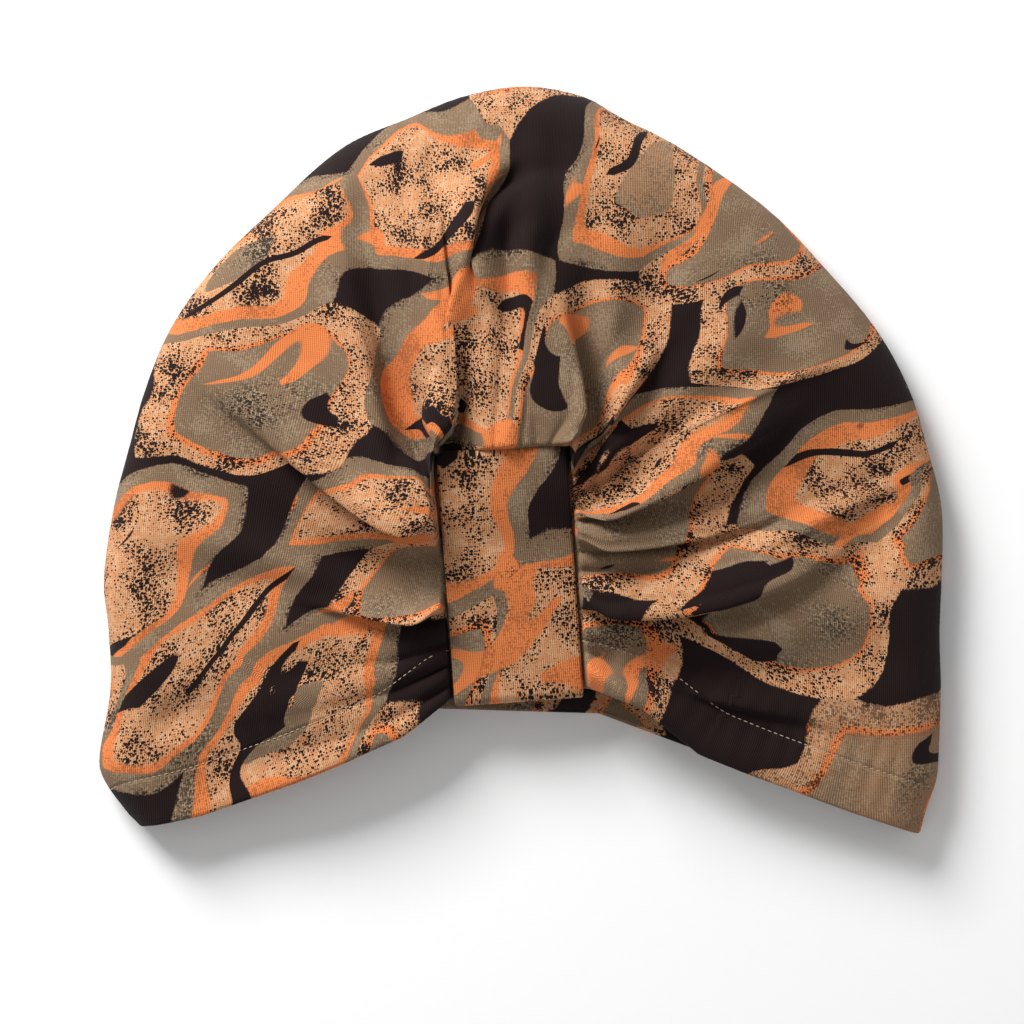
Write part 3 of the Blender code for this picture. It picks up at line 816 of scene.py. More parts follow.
def hem_field(points):
    """Distance from the hem, run along it and way to it for every point, front and back apart."""
    front, rear = hem_lines(points)
    fields = []
    for part, line in ((points[:TURN_ROW], front), (points[TURN_ROW:], rear)):
        spots = part[:, :, :2].reshape(-1, 2)
        fields.append(along_hem(spots, line).reshape(part.shape[:2] + (4,)))
    joined = np.vstack(fields)
    return joined[:, :, 0], joined[:, :, 1], joined[:, :, 2:]


def outward(points):
    """Outward direction at every point of the shell."""
    normal = unit(np.cross(np.gradient(points, axis=1), np.gradient(points, axis=0)))
    row = np.arange(len(points)) - TURN_ROW
    lying = smooth((row - REAR_LIES) / REAR_LIES)[:, None, None]
    return unit(normal * (1 - lying) + np.array([0.0, 0.0, -1.0]) * lying)


def lining(points, thickness, doubled):
    """Inner points of the shell, a cloth's thickness in and under every fold of the front."""
    inner = points - outward(points) * thickness[..., None]
    low = points[:, :, 2].copy()
    for _ in range(LINING_REACH):
        wide = np.pad(low, 1, mode="edge")
        low = np.minimum.reduce([wide[1:-1, 1:-1], wide[:-2, 1:-1], wide[2:, 1:-1],
                                 wide[1:-1, :-2], wide[1:-1, 2:]])
    for _ in range(LINING_REACH):
        wide = np.pad(low, 1, mode="edge")
        low = (wide[:-2, 1:-1] + wide[2:, 1:-1] + wide[1:-1, :-2] + wide[1:-1, 2:]) / 4
    front = (np.arange(len(points)) < TURN_ROW - LINING_REACH)[:, None]
    depth = np.minimum(inner[:, :, 2], low - WALL)
    inner[:, :, 2] += (depth - inner[:, :, 2]) * (1 - doubled) * front
    return inner


def rim_loop(grid):
    """Values of a grid round its edge, anticlockwise from the start of the front hem."""
    return np.concatenate([grid[0, :-1], grid[:-1, -1], grid[-1, :0:-1], grid[:0:-1, 0]])


def rounded_rim(points, inner):
    """Loops that round the cut edge over from outside to inside, and how far the cloth goes on there."""
    outside, inside = rim_loop(points), rim_loop(inner)
    along = np.roll(outside, -1, axis=0) - np.roll(outside, 1, axis=0)
    away = unit(np.cross(along, outside - inside))
    for _ in range(CORNER_ROUNDS):
        away = (np.roll(away, 1, axis=0) + away * 2 + np.roll(away, -1, axis=0)) / 4
    middle, half = (outside + inside) / 2, (outside - inside) / 2
    reach = unit(away) * np.linalg.norm(half, axis=1)[:, None]
    turns = np.linspace(0.0, math.pi, RIM_STEPS + 1)[1:-1]
    loops = [middle + half * math.cos(turn) + reach * math.sin(turn) for turn in turns]
    steps = [reach[:, :2] * turn for turn in turns]
    return loops, steps


def grid_faces(rows, columns, first, flip):
    """Quads of a grid of vertices that starts at one index."""
    r, c = np.meshgrid(np.arange(rows - 1), np.arange(columns - 1), indexing="ij")
    corner = first + (r * columns + c).reshape(-1)
    quads = np.stack([corner, corner + 1, corner + columns + 1, corner + columns], axis=1)
    return quads[:, ::-1] if flip else quads


def loop_faces(loops):
    """Quads between closed loops of vertex numbers, from each to the next."""
    quads = []
    for near, far in zip(loops[:-1], loops[1:]):
        quads.append(np.stack([near, far, np.roll(far, -1), np.roll(near, -1)], axis=1))
    return np.vstack(quads)


def sewn_mesh(name, spots, quads, extra=()):
    """A smooth mesh object from points and faces."""
    mesh = bpy.data.meshes.new(name)
    mesh.from_pydata(spots.tolist(), [], quads.tolist() + [list(face) for face in extra])
    mesh.update()
    mesh.polygons.foreach_set("use_smooth", [True] * len(mesh.polygons))
    piece = bpy.data.objects.new(name, mesh)
    bpy.context.scene.collection.objects.link(piece)
    return piece


def note_points(piece, name, values, kind="FLOAT"):
    """Store a value or a vector on every point of a piece for its shader."""
    layer = piece.data.attributes.new(name, kind, "POINT")
    layer.data.foreach_set("vector" if kind == "FLOAT_VECTOR" else "value",
                           np.asarray(values, float).reshape(-1))


def sew_shell(points, hem, run, way):
    """The printed shell with its true thickness, doubled hem and rounded edge."""
    rows, columns = points.shape[:2]
    outside = beyond_band(points[:, :, :2])
    packed = (1 - smooth(outside / HEM_EASE)) * (np.arange(rows) < TURN_ROW)[:, None]
    hemmed = 1 - smooth((hem - HEM_DEPTH) / HEM_EASE)
    inner = lining(points, WALL + (HEM_WALL - WALL) * np.maximum(hemmed, packed), hemmed)
    rims, steps = rounded_rim(points, inner)
    spots = np.vstack([points.reshape(-1, 3), inner.reshape(-1, 3)] + rims)
    numbers = np.arange(rows * columns).reshape(rows, columns)
    ring = len(rims[0])
    first = 2 * rows * columns
    loops = [rim_loop(numbers)]
    loops += [first + ring * i + np.arange(ring) for i in range(len(rims))]
    loops += [rim_loop(numbers + rows * columns)]
    face = grid_faces(rows, columns, 0, False)
    back = grid_faces(rows, columns, rows * columns, True)
    shell = sewn_mesh("printed_shell", spots, np.vstack([face, back, loop_faces(loops)]))
    sides = np.concatenate([np.zeros(len(face)), np.ones(len(back)), np.zeros(ring * RIM_STEPS)])
    shell.data.polygons.foreach_set("material_index", sides.astype(int))
    flat = cut_cloth(points)
    turned = flat.copy()
    turned[:, :, :2] += way * 2 * (hem < HEM_DEPTH)[..., None]
    edge = rim_loop(flat)
    rim_cloth = [edge + np.column_stack([step, np.zeros(ring)]) for step in steps]
    cloth = np.vstack([flat.reshape(-1, 3), turned.reshape(-1, 3)] + rim_cloth)
    note_points(shell, "cloth", cloth, "FLOAT_VECTOR")
    for name, grid in (("hem", hem), ("run", run)):
        table = grid.reshape(-1)
        note_points(shell, name, np.concatenate([table, table] + [rim_loop(grid)] * len(rims)))
    return shell


def band_path():
    """Inner face of the band in side view: along the band, and height over the gathered cloth."""
    below = -HEM_WALL - CLEARANCE - HEM_TURN_SPACE
    above = CLEARANCE
    lifted = 2 * CLEARANCE + BAND_WALL + TOP_TURN_SPACE
    path = [(way, below) for way in np.linspace(BAND_INSIDE, 0.0, RUN_STEPS + 1)]
    half = (above - below) / 2
    for turn in np.linspace(0.0, math.pi, TURN_STEPS + 1)[1:-1]:
        path.append((-half * math.sin(turn), (above + below) / 2 - half * math.cos(turn)))
    level_run = BAND_LENGTH - BAND_TAIL - TAIL_RISE
    path += [(way, above) for way in np.linspace(0.0, level_run, RUN_STEPS + 1)]
    for step in np.linspace(0.0, 1.0, RUN_STEPS + 1)[1:]:
        path.append((level_run + TAIL_RISE * step, above + (lifted - above) * float(smooth(step))))
    under = above + BAND_WALL + CLEARANCE / 2
    tail = np.linspace(BAND_LENGTH - BAND_TAIL, BAND_LENGTH, TAIL_STEPS + 1)
    path += [(way, lifted) for way in tail[1:]]
    half = (lifted - under) / 2
    for turn in np.linspace(0.0, math.pi, TURN_STEPS + 1)[1:-1]:
        path.append((BAND_LENGTH + half * math.sin(turn), (lifted + under) / 2 + half * math.cos(turn)))
    path += [(way, under) for way in tail[::-1]]
    return np.array(path)


def band_section():
    """Round-edged section of the band: across it, and out from its inner face."""
    half = BAND_WIDTH / 2
    radius = BAND_WALL / 2
    level = np.linspace(-half + radius, half - radius, BAND_ACROSS)
    turn = np.linspace(0.0, math.pi, EDGE_STEPS + 1)[1:-1]
    right = np.column_stack([half - radius + radius * np.sin(turn), radius + radius * np.cos(turn)])
    left = np.column_stack([-half + radius - radius * np.sin(turn), radius - radius * np.cos(turn)])
    top = np.column_stack([level, np.full(BAND_ACROSS, BAND_WALL)])
    bottom = np.column_stack([level[::-1], np.zeros(BAND_ACROSS)])
    return np.vstack([top, right, bottom, left])


def sew_band():
    """The doubled band that wraps the hem and cinches the gathers."""
    path = band_path()
    section = band_section()
    heading = unit(np.gradient(path, axis=0))
    out = np.column_stack([-heading[:, 1], heading[:, 0]])
    length = np.concatenate([[0.0], np.cumsum(np.linalg.norm(np.diff(path, axis=0), axis=1))])
    rows = []
    cloth = []
    for place, way, run in zip(path, out, length):
        across = section[:, 0]
        along = place[0] + way[0] * section[:, 1]
        pull = BAND_PULL * np.sin(2 * np.pi * run / BAND_PULL_PITCH + across / BAND_PULL_SLANT)
        tall = hub_height(across, np.full(len(across), place[0])) + place[1] + way[1] * section[:, 1]
        tall += pull * (section[:, 1] / BAND_WALL)
        rows.append(np.column_stack([band_to_plan(across, along), tall]))
        cloth.append(np.column_stack([across, np.full(len(across), run), np.zeros(len(across))]) + BAND_CUT)
    ring = len(section)
    loops = [ring * i + np.arange(ring) for i in range(len(rows))]
    ends = (loops[0][::-1].tolist(), loops[-1].tolist())
    band = sewn_mesh("gathering_band", np.vstack(rows), loop_faces(loops), ends)
    note_points(band, "cloth", np.vstack(cloth), "FLOAT_VECTOR")
    return band


def seam_line(points, hem):
    """Points on the front where the hem is stitched down, from left to right."""
    last = TURN_ROW - SEAM_STOP
    part, field = points[:last], hem[:last] - HEM_DEPTH
    found = []
    for a, b, fa, fb in ((part[:-1], part[1:], field[:-1], field[1:]),
                         (part[:, :-1], part[:, 1:], field[:, :-1], field[:, 1:])):
        cross = (fa * fb) < 0
        share = (fa / np.where(cross, fa - fb, 1.0))[cross]
        found.append(a[cross] + (b[cross] - a[cross]) * share[:, None])
    line = np.vstack(found)
    return line[np.argsort(line[:, 0])]


def front_seams(points, hem):
    """The two visible runs of stitching, left and right of the band."""
    line = seam_line(points, hem)
    runs = []
    for side in (-1, 1):
        across, _ = plan_to_band(line[:, :2])
        run = line[across * side > BAND_WIDTH / 2 + BAND_MARGIN]
        count = int((run[-1, 0] - run[0, 0]) / SEAM_POINT_PITCH)
        steps = np.linspace(run[0, 0], run[-1, 0], count)
        even = np.column_stack([steps] + [np.interp(steps, run[:, 0], run[:, i]) for i in (1, 2)])
        kept = SEAM_EASE // 2
        for i in (1, 2):
            even[kept:-kept, i] = np.convolve(even[:, i], np.ones(SEAM_EASE) / SEAM_EASE, mode="valid")
        even[:, 2] += STITCH_THICK * STITCH_LIFT
        runs.append(even)
    return runs


def stitching_tree():
    """Geometry nodes that lay one thread stitch after another along a seam."""
    tree = bpy.data.node_groups.new("hem_stitching", "GeometryNodeTree")
    face = tree.interface
    face.new_socket("Seam", in_out="INPUT", socket_type="NodeSocketGeometry")
    for name in STITCH_SIZES:
        face.new_socket(name, in_out="INPUT", socket_type="NodeSocketFloat")
    face.new_socket("Thread", in_out="INPUT", socket_type="NodeSocketMaterial")
    face.new_socket("Stitches", in_out="OUTPUT", socket_type="NodeSocketGeometry")

    def add(kind, settings=None, sockets=None):
        node = tree.nodes.new(kind)
        for key, value in (settings or {}).items():
            setattr(node, key, value)
        for key, value in (sockets or {}).items():
            if isinstance(value, bpy.types.NodeSocket):
                tree.links.new(value, node.inputs[key])
            else:
                node.inputs[key].default_value = value
        return node

    given = add("NodeGroupInput").outputs
    curve = add("GeometryNodeMeshToCurve", None, {"Mesh": given["Seam"]})
    spots = add("GeometryNodeCurveToPoints", {"mode": "LENGTH"},
                {"Curve": curve.outputs["Curve"], "Length": given["Stitch pitch"]})
    bead = add("GeometryNodeMeshUVSphere", None,
               {"Segments": STITCH_SIDES, "Rings": STITCH_RINGS, "Radius": 0.5})
    size = add("ShaderNodeCombineXYZ", None,
               {"X": given["Thread thickness"], "Y": given["Thread thickness"],
                "Z": given["Stitch length"]})
    shaped = add("GeometryNodeTransform", None,
                 {"Geometry": bead.outputs["Mesh"], "Scale": size.outputs[0]})
    dice = add("FunctionNodeRandomValue", {"data_type": "FLOAT"},
               {2: 1 - STITCH_VARIES, 3: 1 + STITCH_VARIES, "Seed": STITCH_SEED})
    laid = add("GeometryNodeInstanceOnPoints", None,
               {"Points": spots.outputs["Points"], "Instance": shaped.outputs["Geometry"],
                "Rotation": spots.outputs["Rotation"], "Scale": dice.outputs[1]})
    real = add("GeometryNodeRealizeInstances", None, {0: laid.outputs["Instances"]})
    soft = add("GeometryNodeSetShadeSmooth", None, {"Geometry": real.outputs[0]})
    sewn = add("GeometryNodeSetMaterial", None,
               {"Geometry": soft.outputs["Geometry"], "Material": given["Thread"]})
    add("NodeGroupOutput", None, {0: sewn.outputs["Geometry"]})
    return tree


def sew_stitches(runs, thread):
    """Thread stitches along the front hem as one plain mesh."""
    spots = np.vstack(runs)
    edges = []
    first = 0
    for run in runs:
        edges += [(first + i, first + i + 1) for i in range(len(run) - 1)]
        first += len(run)
    seam = bpy.data.meshes.new("hem_seam")
    seam.from_pydata(spots.tolist(), edges, [])
    guide = bpy.data.objects.new("hem_seam", seam)
    bpy.context.scene.collection.objects.link(guide)
    work = guide.modifiers.new("stitching", "NODES")
    work.node_group = stitching_tree()
    chosen = {**STITCH_SIZES, "Thread": thread}
    for item in work.node_group.interface.items_tree:
        if item.name in chosen and item.in_out == "INPUT":
            work[item.identifier] = chosen[item.name]
    bpy.context.view_layer.update()
    graph = bpy.context.evaluated_depsgraph_get()
    mesh = bpy.data.meshes.new_from_object(guide.evaluated_get(graph))
    mesh.name = "hem_stitches"
    guide.modifiers.remove(work)
    bpy.data.objects.remove(guide, do_unlink=True)
    stitches = bpy.data.objects.new("hem_stitches", mesh)
    bpy.context.scene.collection.objects.link(stitches)
    return stitches


class Dye:
    """A shader socket of one cloth, reckoned with like a number."""

    def __init__(self, recipe, socket):
        self.recipe = recipe
        self.socket = socket

    def made(self, operation, *values):
        return self.recipe.sum(operation, *values)

    def __add__(self, other):
        return self.made("ADD", self, other)

    __radd__ = __add__

    def __sub__(self, other):
        return self.made("SUBTRACT", self, other)

    def __rsub__(self, other):
        return self.made("SUBTRACT", other, self)

    def __mul__(self, other):
        return self.made("MULTIPLY", self, other)

    __rmul__ = __mul__

    def __abs__(self):
        return self.made("ABSOLUTE", self)

    def __and__(self, other):
        return self.made("MINIMUM", self, other)

    __rand__ = __and__

    def __or__(self, other):
        return self.made("MAXIMUM", self, other)

    __ror__ = __or__


class Recipe:
    """The shader of one cloth or thread, with one way to add a node."""

    def __init__(self, name):
        self.material = bpy.data.materials.new(name)
        self.material.use_nodes = True
        self.tree = self.material.node_tree
        self.tree.nodes.clear()

    def node(self, kind, settings=None, sockets=None, out=0):
        """Add a node: its settings first, then the values and links of its sockets."""
        node = self.tree.nodes.new(kind)
        for key, value in (settings or {}).items():
            setattr(node, key, value)
        for key, value in (sockets or {}).items():
            if isinstance(value, Dye):
                self.tree.links.new(value.socket, node.inputs[key])
            else:
                node.inputs[key].default_value = value
        return Dye(self, node.outputs[out]) if node.outputs else None

    def sum(self, operation, *values):
        """A Math node on values and links."""
        return self.node("ShaderNodeMath", {"operation": operation}, dict(enumerate(values)))

    def noise(self, place, cloud, out="Factor"):
        """Cloudy variation: clouds a metre, detail and roughness."""
        scale, detail, rough = cloud
        return self.node("ShaderNodeTexNoise", {"noise_dimensions": "3D"},
                         {"Vector": place, "Scale": scale, "Detail": detail, "Roughness": rough},
                         0 if out == "Factor" else 1)

    def sway(self, place, cloud, amount):
        """Cloudy variation about nought."""
        return (self.noise(place, cloud) - 0.5) * amount

    def over(self, value, edge, soft):
        """Nought below an edge and one above it."""
        return self.node("ShaderNodeMapRange", {"clamp": True},
                         {"Value": value, "From Min": edge - soft, "From Max": edge + soft})

    def blend(self, share, below, above):
        """One colour over another by share."""
        below, above = [(*dye, 1.0) if isinstance(dye, tuple) else dye for dye in (below, above)]
        return self.node("ShaderNodeMix", {"data_type": "RGBA"}, {0: share, 6: below, 7: above}, 2)

    def part(self, place, index):
        """One coordinate of a place."""
        return self.node("ShaderNodeSeparateXYZ", None, {"Vector": place}, index)

    def draw(self, colour, index):
        """One number out of a random colour."""
        return self.node("ShaderNodeSeparateColor", None, {"Color": colour}, index)

    def waves(self, run, pitch):
        """Even waves along a run."""
        return self.sum("SINE", run * (2 * math.pi / pitch))

    def shift(self, place, *pushes):
        """A place moved by vectors, each times its length in metres."""
        for push, length in pushes:
            centred = self.node("ShaderNodeVectorMath", {"operation": "SUBTRACT"},
                                {0: push, 1: (0.5, 0.5, 0.5)})
            scaled = self.node("ShaderNodeVectorMath", {"operation": "SCALE"},
                               {0: centred, "Scale": length})
            place = self.node("ShaderNodeVectorMath", {"operation": "ADD"}, {0: place, 1: scaled})
        return place

    def stretched(self, place, turn, long):
        """A place on cloth that is turned and stretched along its own length."""
        return self.node("ShaderNodeMapping", {"vector_type": "TEXTURE"},
                         {"Vector": place, "Rotation": (0.0, 0.0, turn), "Scale": (long, 1.0, 1.0)})

    def finish(self, colour, relief, height, look):
        """Matt cloth from a colour, a relief, a height in metres and its finish."""
        rough, swing, sheen = look
        raised = self.node("ShaderNodeBump", None, {"Strength": 1.0, "Distance": 1.0, "Height": height})
        cloth = self.node("ShaderNodeBsdfPrincipled", None,
                          {"Base Color": colour, "Roughness": relief * swing + rough, "Normal": raised,
                           "Specular IOR Level": SPECULAR, "Sheen Weight": sheen,
                           "Sheen Roughness": SHEEN_ROUGH})
        self.node("ShaderNodeOutputMaterial", None, {"Surface": cloth})
        return self.material


def leaves(recipe, moved):
    """Reach from the middles of the nearest leaf and the next, and two draws of the nearest."""
    pointed = {"voronoi_dimensions": "2D", "distance": "MINKOWSKI"}
    sockets = {"Vector": moved, "Scale": LEAF_SCALE, "Randomness": LEAF_SCATTER,
               "Exponent": LEAF_POINTED}
    reach = recipe.node("ShaderNodeTexVoronoi", {**pointed, "feature": "F1"}, sockets, "Distance")
    lot = recipe.node("ShaderNodeTexVoronoi", {**pointed, "feature": "F1"}, sockets, "Color")
    other = recipe.node("ShaderNodeTexVoronoi", {**pointed, "feature": "F2"}, sockets, "Distance")
    return reach, other, recipe.draw(lot, 0), recipe.draw(lot, 1)


def specks(recipe, place, crowd):
    """Small round specks that grow where they crowd."""
    nearest = {"voronoi_dimensions": "2D", "feature": "F1"}
    dust = 0.0
    for scale, least in SPECKS:
        sockets = {"Vector": place, "Scale": scale}
        spot = recipe.node("ShaderNodeTexVoronoi", nearest, sockets, "Distance")
        chance = recipe.draw(recipe.node("ShaderNodeTexVoronoi", nearest, sockets, "Color"), 1)
        grown = (crowd - 0.5) * SPECK_GROWTH + least - chance * SPECK_SPREAD
        dust = recipe.over(grown - spot, *SPECK_EDGE) | dust
    return dust


def strokes(recipe, place, moved, ragged):
    """Tapered brush strokes: where they are inked and where they are tinted."""
    slanted = recipe.stretched(moved, 0.0, STROKE_LONG)
    stroke = abs(recipe.noise(slanted, STROKE_CLOUD) - 0.5 + ragged * STROKE_RAGGED)
    where = recipe.noise(place, STROKE_PLACES)
    inked = ((where - INK_FROM) * STROKE_TAPER) & STROKE_WIDE
    tinted = ((TINT_UNTIL - where) * STROKE_TAPER) & STROKE_WIDE
    return recipe.over(inked - stroke, *INK_EDGE), recipe.over(tinted - stroke, *TINT_EDGE)


def print_colours(recipe, place):
    """Colour of the print, from a place on the cut cloth."""
    drift = recipe.noise(place, DRIFT_CLOUD, "Colour")
    bend = recipe.noise(place, BEND_CLOUD, "Colour")
    moved = recipe.stretched(recipe.shift(place, (drift, DRIFT), (bend, BEND)), LEAF_TURN, LEAF_LONG)
    reach, other, heart_draw, vein_draw = leaves(recipe, moved)
    crumb = recipe.noise(place, CRUMB_CLOUD)
    crowd = recipe.noise(place, CROWD_CLOUD)
    ragged = (crumb - 0.5) * CRUMB
    dry = recipe.sway(place, BRUSH_CLOUD, BRUSH)
    tide = recipe.sway(place, TIDE_CLOUD, TIDE)
    level = reach | (LEAF_EDGE - (other - reach) * LEAF_SIDE)
    brushed = level + dry
    worn = level + ragged + dry

    # Peach leaves with an orange outline, a khaki border and sometimes a khaki heart
    bleach = recipe.over(recipe.noise(place, BLEACH_CLOUD) + (crumb - 0.5) * BLEACH_CRUMB, *BLEACH_EDGE)
    peach = recipe.blend(bleach, PEACH, PALE_PEACH)
    outlined = recipe.over(brushed + tide, *ORANGE_EDGE)
    heart = 1.0 - recipe.over(worn + tide * HEART_TIDE, *HEART_EDGE)
    heart = heart * recipe.over(heart_draw, *HEARTED)
    border = recipe.over(worn + tide * KHAKI_TIDE, *KHAKI_EDGE)
    leaf = recipe.blend(outlined, peach, ORANGE)
    leaf = recipe.blend(heart | border, leaf, KHAKI)

    # Khaki leaves with an orange line and a peach rim
    veined = recipe.over(vein_draw, *VEINED)
    inside = 1.0 - recipe.over(worn + tide * VEIN_TIDE, *VEIN_EDGE)
    lined = 1.0 - recipe.over(brushed + tide * VEIN_LINE_TIDE, *VEIN_LINE_EDGE)
    vein = recipe.blend(lined, peach, ORANGE)
    vein = recipe.blend(inside, vein, KHAKI)
    colour = recipe.blend(veined, leaf, vein)
    ground = (heart | border) * (1.0 - veined) + inside * veined
    line = outlined * (1.0 - veined)

    # Strokes of ink and tint, and pale flecks in the khaki
    inked, tinted = strokes(recipe, place, moved, ragged)
    colour = recipe.blend(tinted, colour, ORANGE)
    flecks = recipe.over(recipe.noise(place, FLECK_CLOUD) + (crowd - 0.5) * FLECK_CROWD, *FLECK_EDGE)
    bloom = recipe.over(recipe.noise(place, BLOOM_CLOUD), *BLOOM_EDGE)
    pale = flecks * (bloom * FLECK_BLOOM + FLECK_PALE) * ground * (1.0 - tinted)
    colour = recipe.blend(pale, colour, PALE_KHAKI)

    # Black between the leaves, in the strokes and in the specks
    dust = specks(recipe, place, crowd)
    rim = recipe.over(worn, *RIM_EDGE) * recipe.over(recipe.noise(place, RIM_CLOUD), *RIM_PATCHES)
    gap = recipe.over(reach + ragged + dry, *BLACK_EDGE)
    sprinkled = dust * (1.0 - ground) * (1.0 - (line | tinted) * SPECK_THIN)
    dusted = dust * (bloom * ground | rim) * DUST_THIN
    black = sprinkled | gap | inked * (1.0 - border) | dusted
    return recipe.blend(black, colour, BLACK)


def knit(recipe, place):
    """Height in metres of the fine ribs of the jersey, and the relief that their painted shade and
    highlight follow.
    """
    wander = recipe.noise(place, RIB_CLOUD) * RIB_WANDER
    rib = recipe.waves(recipe.part(place, 0) + wander, RIB_PITCH)
    loop = recipe.waves(recipe.part(place, 1), LOOP_PITCH)
    fuzz = recipe.sway(place, FUZZ_CLOUD, FUZZ_SHARE)
    worn = recipe.noise(place, WEAR_CLOUD)
    weave = rib * (worn * RIB_WEAR + RIB_LEAST) + loop * LOOP_SHARE + fuzz
    return weave * RIB_HEIGHT, weave


def stored(recipe, name, out):
    """A value or vector stored on the cloth."""
    return recipe.node("ShaderNodeAttribute", {"attribute_name": name}, None, out)


def stitch_groove(recipe, hem, run):
    """Dip of the cloth along the hem stitching, with small puckers beside it."""
    beside = abs(hem - HEM_DEPTH)
    dip = recipe.over(GROOVE_WIDE - beside, GROOVE_WIDE / 2, GROOVE_WIDE / 2)
    pucker = recipe.waves(run, PUCKER_PITCH) * recipe.over(PUCKER_WIDE - beside, 0.0, PUCKER_WIDE)
    return pucker * PUCKER_HEIGHT - dip * GROOVE_DEPTH


def printed_cloth(name):
    """What both sides of the jersey share: print, height, ribs, and distance from and along the hem."""
    recipe = Recipe(name)
    place = stored(recipe, "cloth", "Vector")
    hem = stored(recipe, "hem", "Fac")
    run = stored(recipe, "run", "Fac")
    colour = print_colours(recipe, place)
    height, weave = knit(recipe, place)
    return recipe, place, colour, height + stitch_groove(recipe, hem, run), weave, hem, run


def rib_shaded(recipe, colour, weave):
    """A colour with painted shade between the ribs and painted highlight on their tops, plus random fuzz
    tone.
    """
    return recipe.node("ShaderNodeHueSaturation", None,
                       {"Color": colour, "Value": weave * RIB_SHADE + 1.0})


def rear_thread(recipe, place, hem, run):
    """Where the thread shows in the stitching of the rear hem."""
    behind = recipe.over(recipe.part(place, 2), REAR_CLOTH, REAR_SOFT)
    along = recipe.sum("PINGPONG", run, STITCH_PITCH / 2)
    stitch = 1.0 - recipe.over(along, STITCH_LONG / 2, THREAD_SOFT)
    return stitch * behind * (1.0 - recipe.over(abs(hem - HEM_DEPTH), STITCH_THICK / 2, THREAD_SOFT))


def overlock_thread(recipe, hem, run, beyond):
    """Where the thread of the overlocked raw edge shows inside the hem."""
    swing = recipe.sum("PINGPONG", run, OVERLOCK_PITCH) * (OVERLOCK_WIDE / OVERLOCK_PITCH)
    away = abs(hem - HEM_DEPTH - OVERLOCK_GAP - swing)
    thread = 1.0 - recipe.over(away, OVERLOCK_THREAD, OVERLOCK_THREAD * OVERLOCK_SOFT)
    near = 1.0 - recipe.over(hem, HEM_DEPTH + OVERLOCK_WIDE + OVERLOCK_GAP, INSIDE_SOFT)
    return thread * near * beyond


def printed_jersey():
    """Right side of the printed cloth."""
    recipe, place, colour, height, weave, hem, run = printed_cloth("printed_jersey")
    thread = rear_thread(recipe, place, hem, run)
    # Painted shade between the ribs and painted highlight on their tops
    colour = rib_shaded(recipe, recipe.blend(thread, colour, PALE_THREAD), weave)
    return recipe.finish(colour, weave, height + thread * STITCH_THICK, JERSEY_FINISH)


def wrong_side():
    """Inside of the shell: the right side again in the turned hem, paler print beyond it."""
    recipe, _, colour, height, weave, hem, run = printed_cloth("jersey_inside")
    beyond = recipe.over(hem, HEM_DEPTH, INSIDE_SOFT)
    colour = recipe.blend(beyond, colour, recipe.blend(INSIDE_FADE, colour, INSIDE))
    thread = overlock_thread(recipe, hem, run, beyond)
    # Painted shade between the ribs and painted highlight on their tops
    colour = rib_shaded(recipe, recipe.blend(thread, colour, THREAD), weave)
    return recipe.finish(colour, weave, height + thread * OVERLOCK_HEIGHT, INSIDE_FINISH)


def sewing_thread():
    """Pale twisted sewing thread."""
    recipe = Recipe("sewing_thread")
    place = recipe.node("ShaderNodeTexCoord", None, None, "Object")
    fuzz = recipe.noise(place, THREAD_CLOUD)
    colour = recipe.blend(fuzz, THREAD, PALE_THREAD)
    return recipe.finish(colour, fuzz, fuzz * THREAD_FUZZ, THREAD_FINISH)


def paper_floor():
    """White paper for the hat to lie on."""
    recipe = Recipe("white_paper")
    place = recipe.node("ShaderNodeTexCoord", None, None, "Object")
    grain = recipe.noise(place, PAPER_CLOUD)
    colour = recipe.blend(grain, PAPER, PALE_PAPER)
    return recipe.finish(colour, grain, grain * PAPER_GRAIN, PAPER_FINISH)


def lay_floor():
    """A plain pale floor under the hat."""
    half = FLOOR_SIZE / 2
    corners = np.array([(-half, -half, 0.0), (half, -half, 0.0), (half, half, 0.0), (-half, half, 0.0)])
    floor = sewn_mesh("floor", corners, np.array([(0, 1, 2, 3)]))
    floor.data.materials.append(paper_floor())


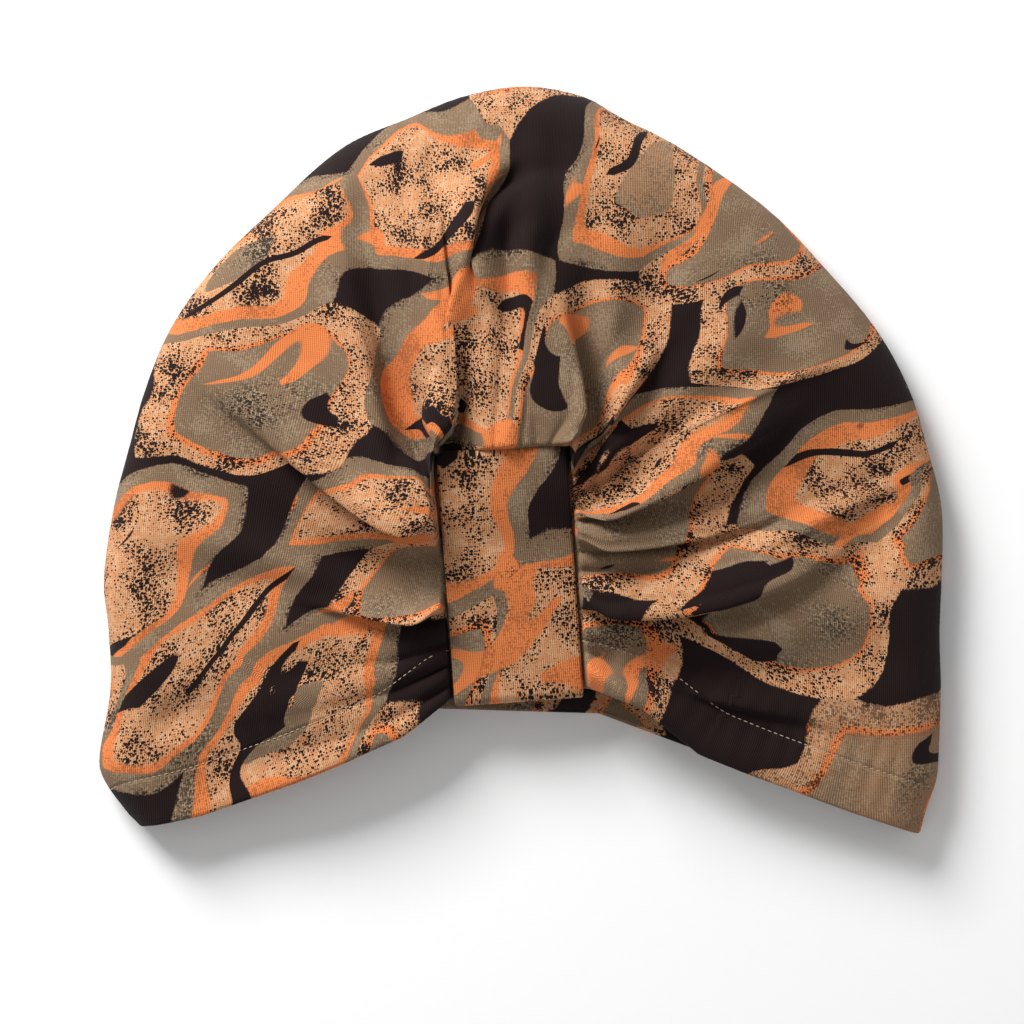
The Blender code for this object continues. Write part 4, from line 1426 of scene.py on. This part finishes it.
def hang_lights():
    """Soft daylight from above the crown, and a bright room."""
    room = bpy.data.worlds.new("room")
    room.use_nodes = True
    glow = room.node_tree.nodes["Background"].inputs
    glow["Color"].default_value = (1.0, 1.0, 1.0, 1.0)
    glow["Strength"].default_value = ROOM_LIGHT
    bpy.context.scene.world = room
    for name, place, size, power in LIGHTS:
        lamp = bpy.data.lights.new(name, "AREA")
        lamp.shape = "SQUARE"
        lamp.size = size
        lamp.energy = power
        light = bpy.data.objects.new(name, lamp)
        light.location = place
        light.rotation_euler = (-Vector(place)).to_track_quat("-Z", "Y").to_euler()
        bpy.context.scene.collection.objects.link(light)


def set_camera():
    """Look straight down, as the photograph does."""
    lens = bpy.data.cameras.new("overhead")
    lens.sensor_width = SENSOR
    lens.lens = SENSOR * (CAMERA_HEIGHT - EDGE_HEIGHT) / VIEW_WIDTH
    lens.clip_start = NEAREST_SEEN
    camera = bpy.data.objects.new("overhead", lens)
    camera.location = (*CAMERA_AIM, CAMERA_HEIGHT)
    bpy.context.scene.collection.objects.link(camera)
    bpy.context.scene.camera = camera


def seat(pieces, box):
    """Move the pieces' own points so that the shell fills the place of the plain one."""
    spots = np.array([v.co for v in pieces[0].data.vertices])
    low, high = spots.min(axis=0), spots.max(axis=0)
    wanted = (np.array(box[0]) + np.array(box[1])) / 2
    move = wanted - (low + high) / 2
    move[2] = box[0][2] - low[2]
    for piece in pieces:
        piece.data.transform(Matrix.Translation(Vector(move)))


def main():
    """Sew the hat, dress it and set up the view."""
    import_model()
    points = shell_points()
    hem, run, way = hem_field(points)
    shell = sew_shell(points, hem, run, way)
    band = sew_band()
    cloth = printed_jersey()
    shell.data.materials.append(cloth)
    shell.data.materials.append(wrong_side())
    band.data.materials.append(cloth)
    thread = sewing_thread()
    stitches = sew_stitches(front_seams(points, hem), thread)
    seat([shell, band, stitches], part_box("cap_shell"))
    for piece, slot in ((shell, "printed_jersey"), (band, "band_jersey"), (stitches, "printed_jersey")):
        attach(piece, "root")
    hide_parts("cap_shell")
    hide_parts("centre_band")
    lay_floor()
    hang_lights()
    set_camera()
    bpy.context.scene.view_settings.view_transform = "Standard"


main()
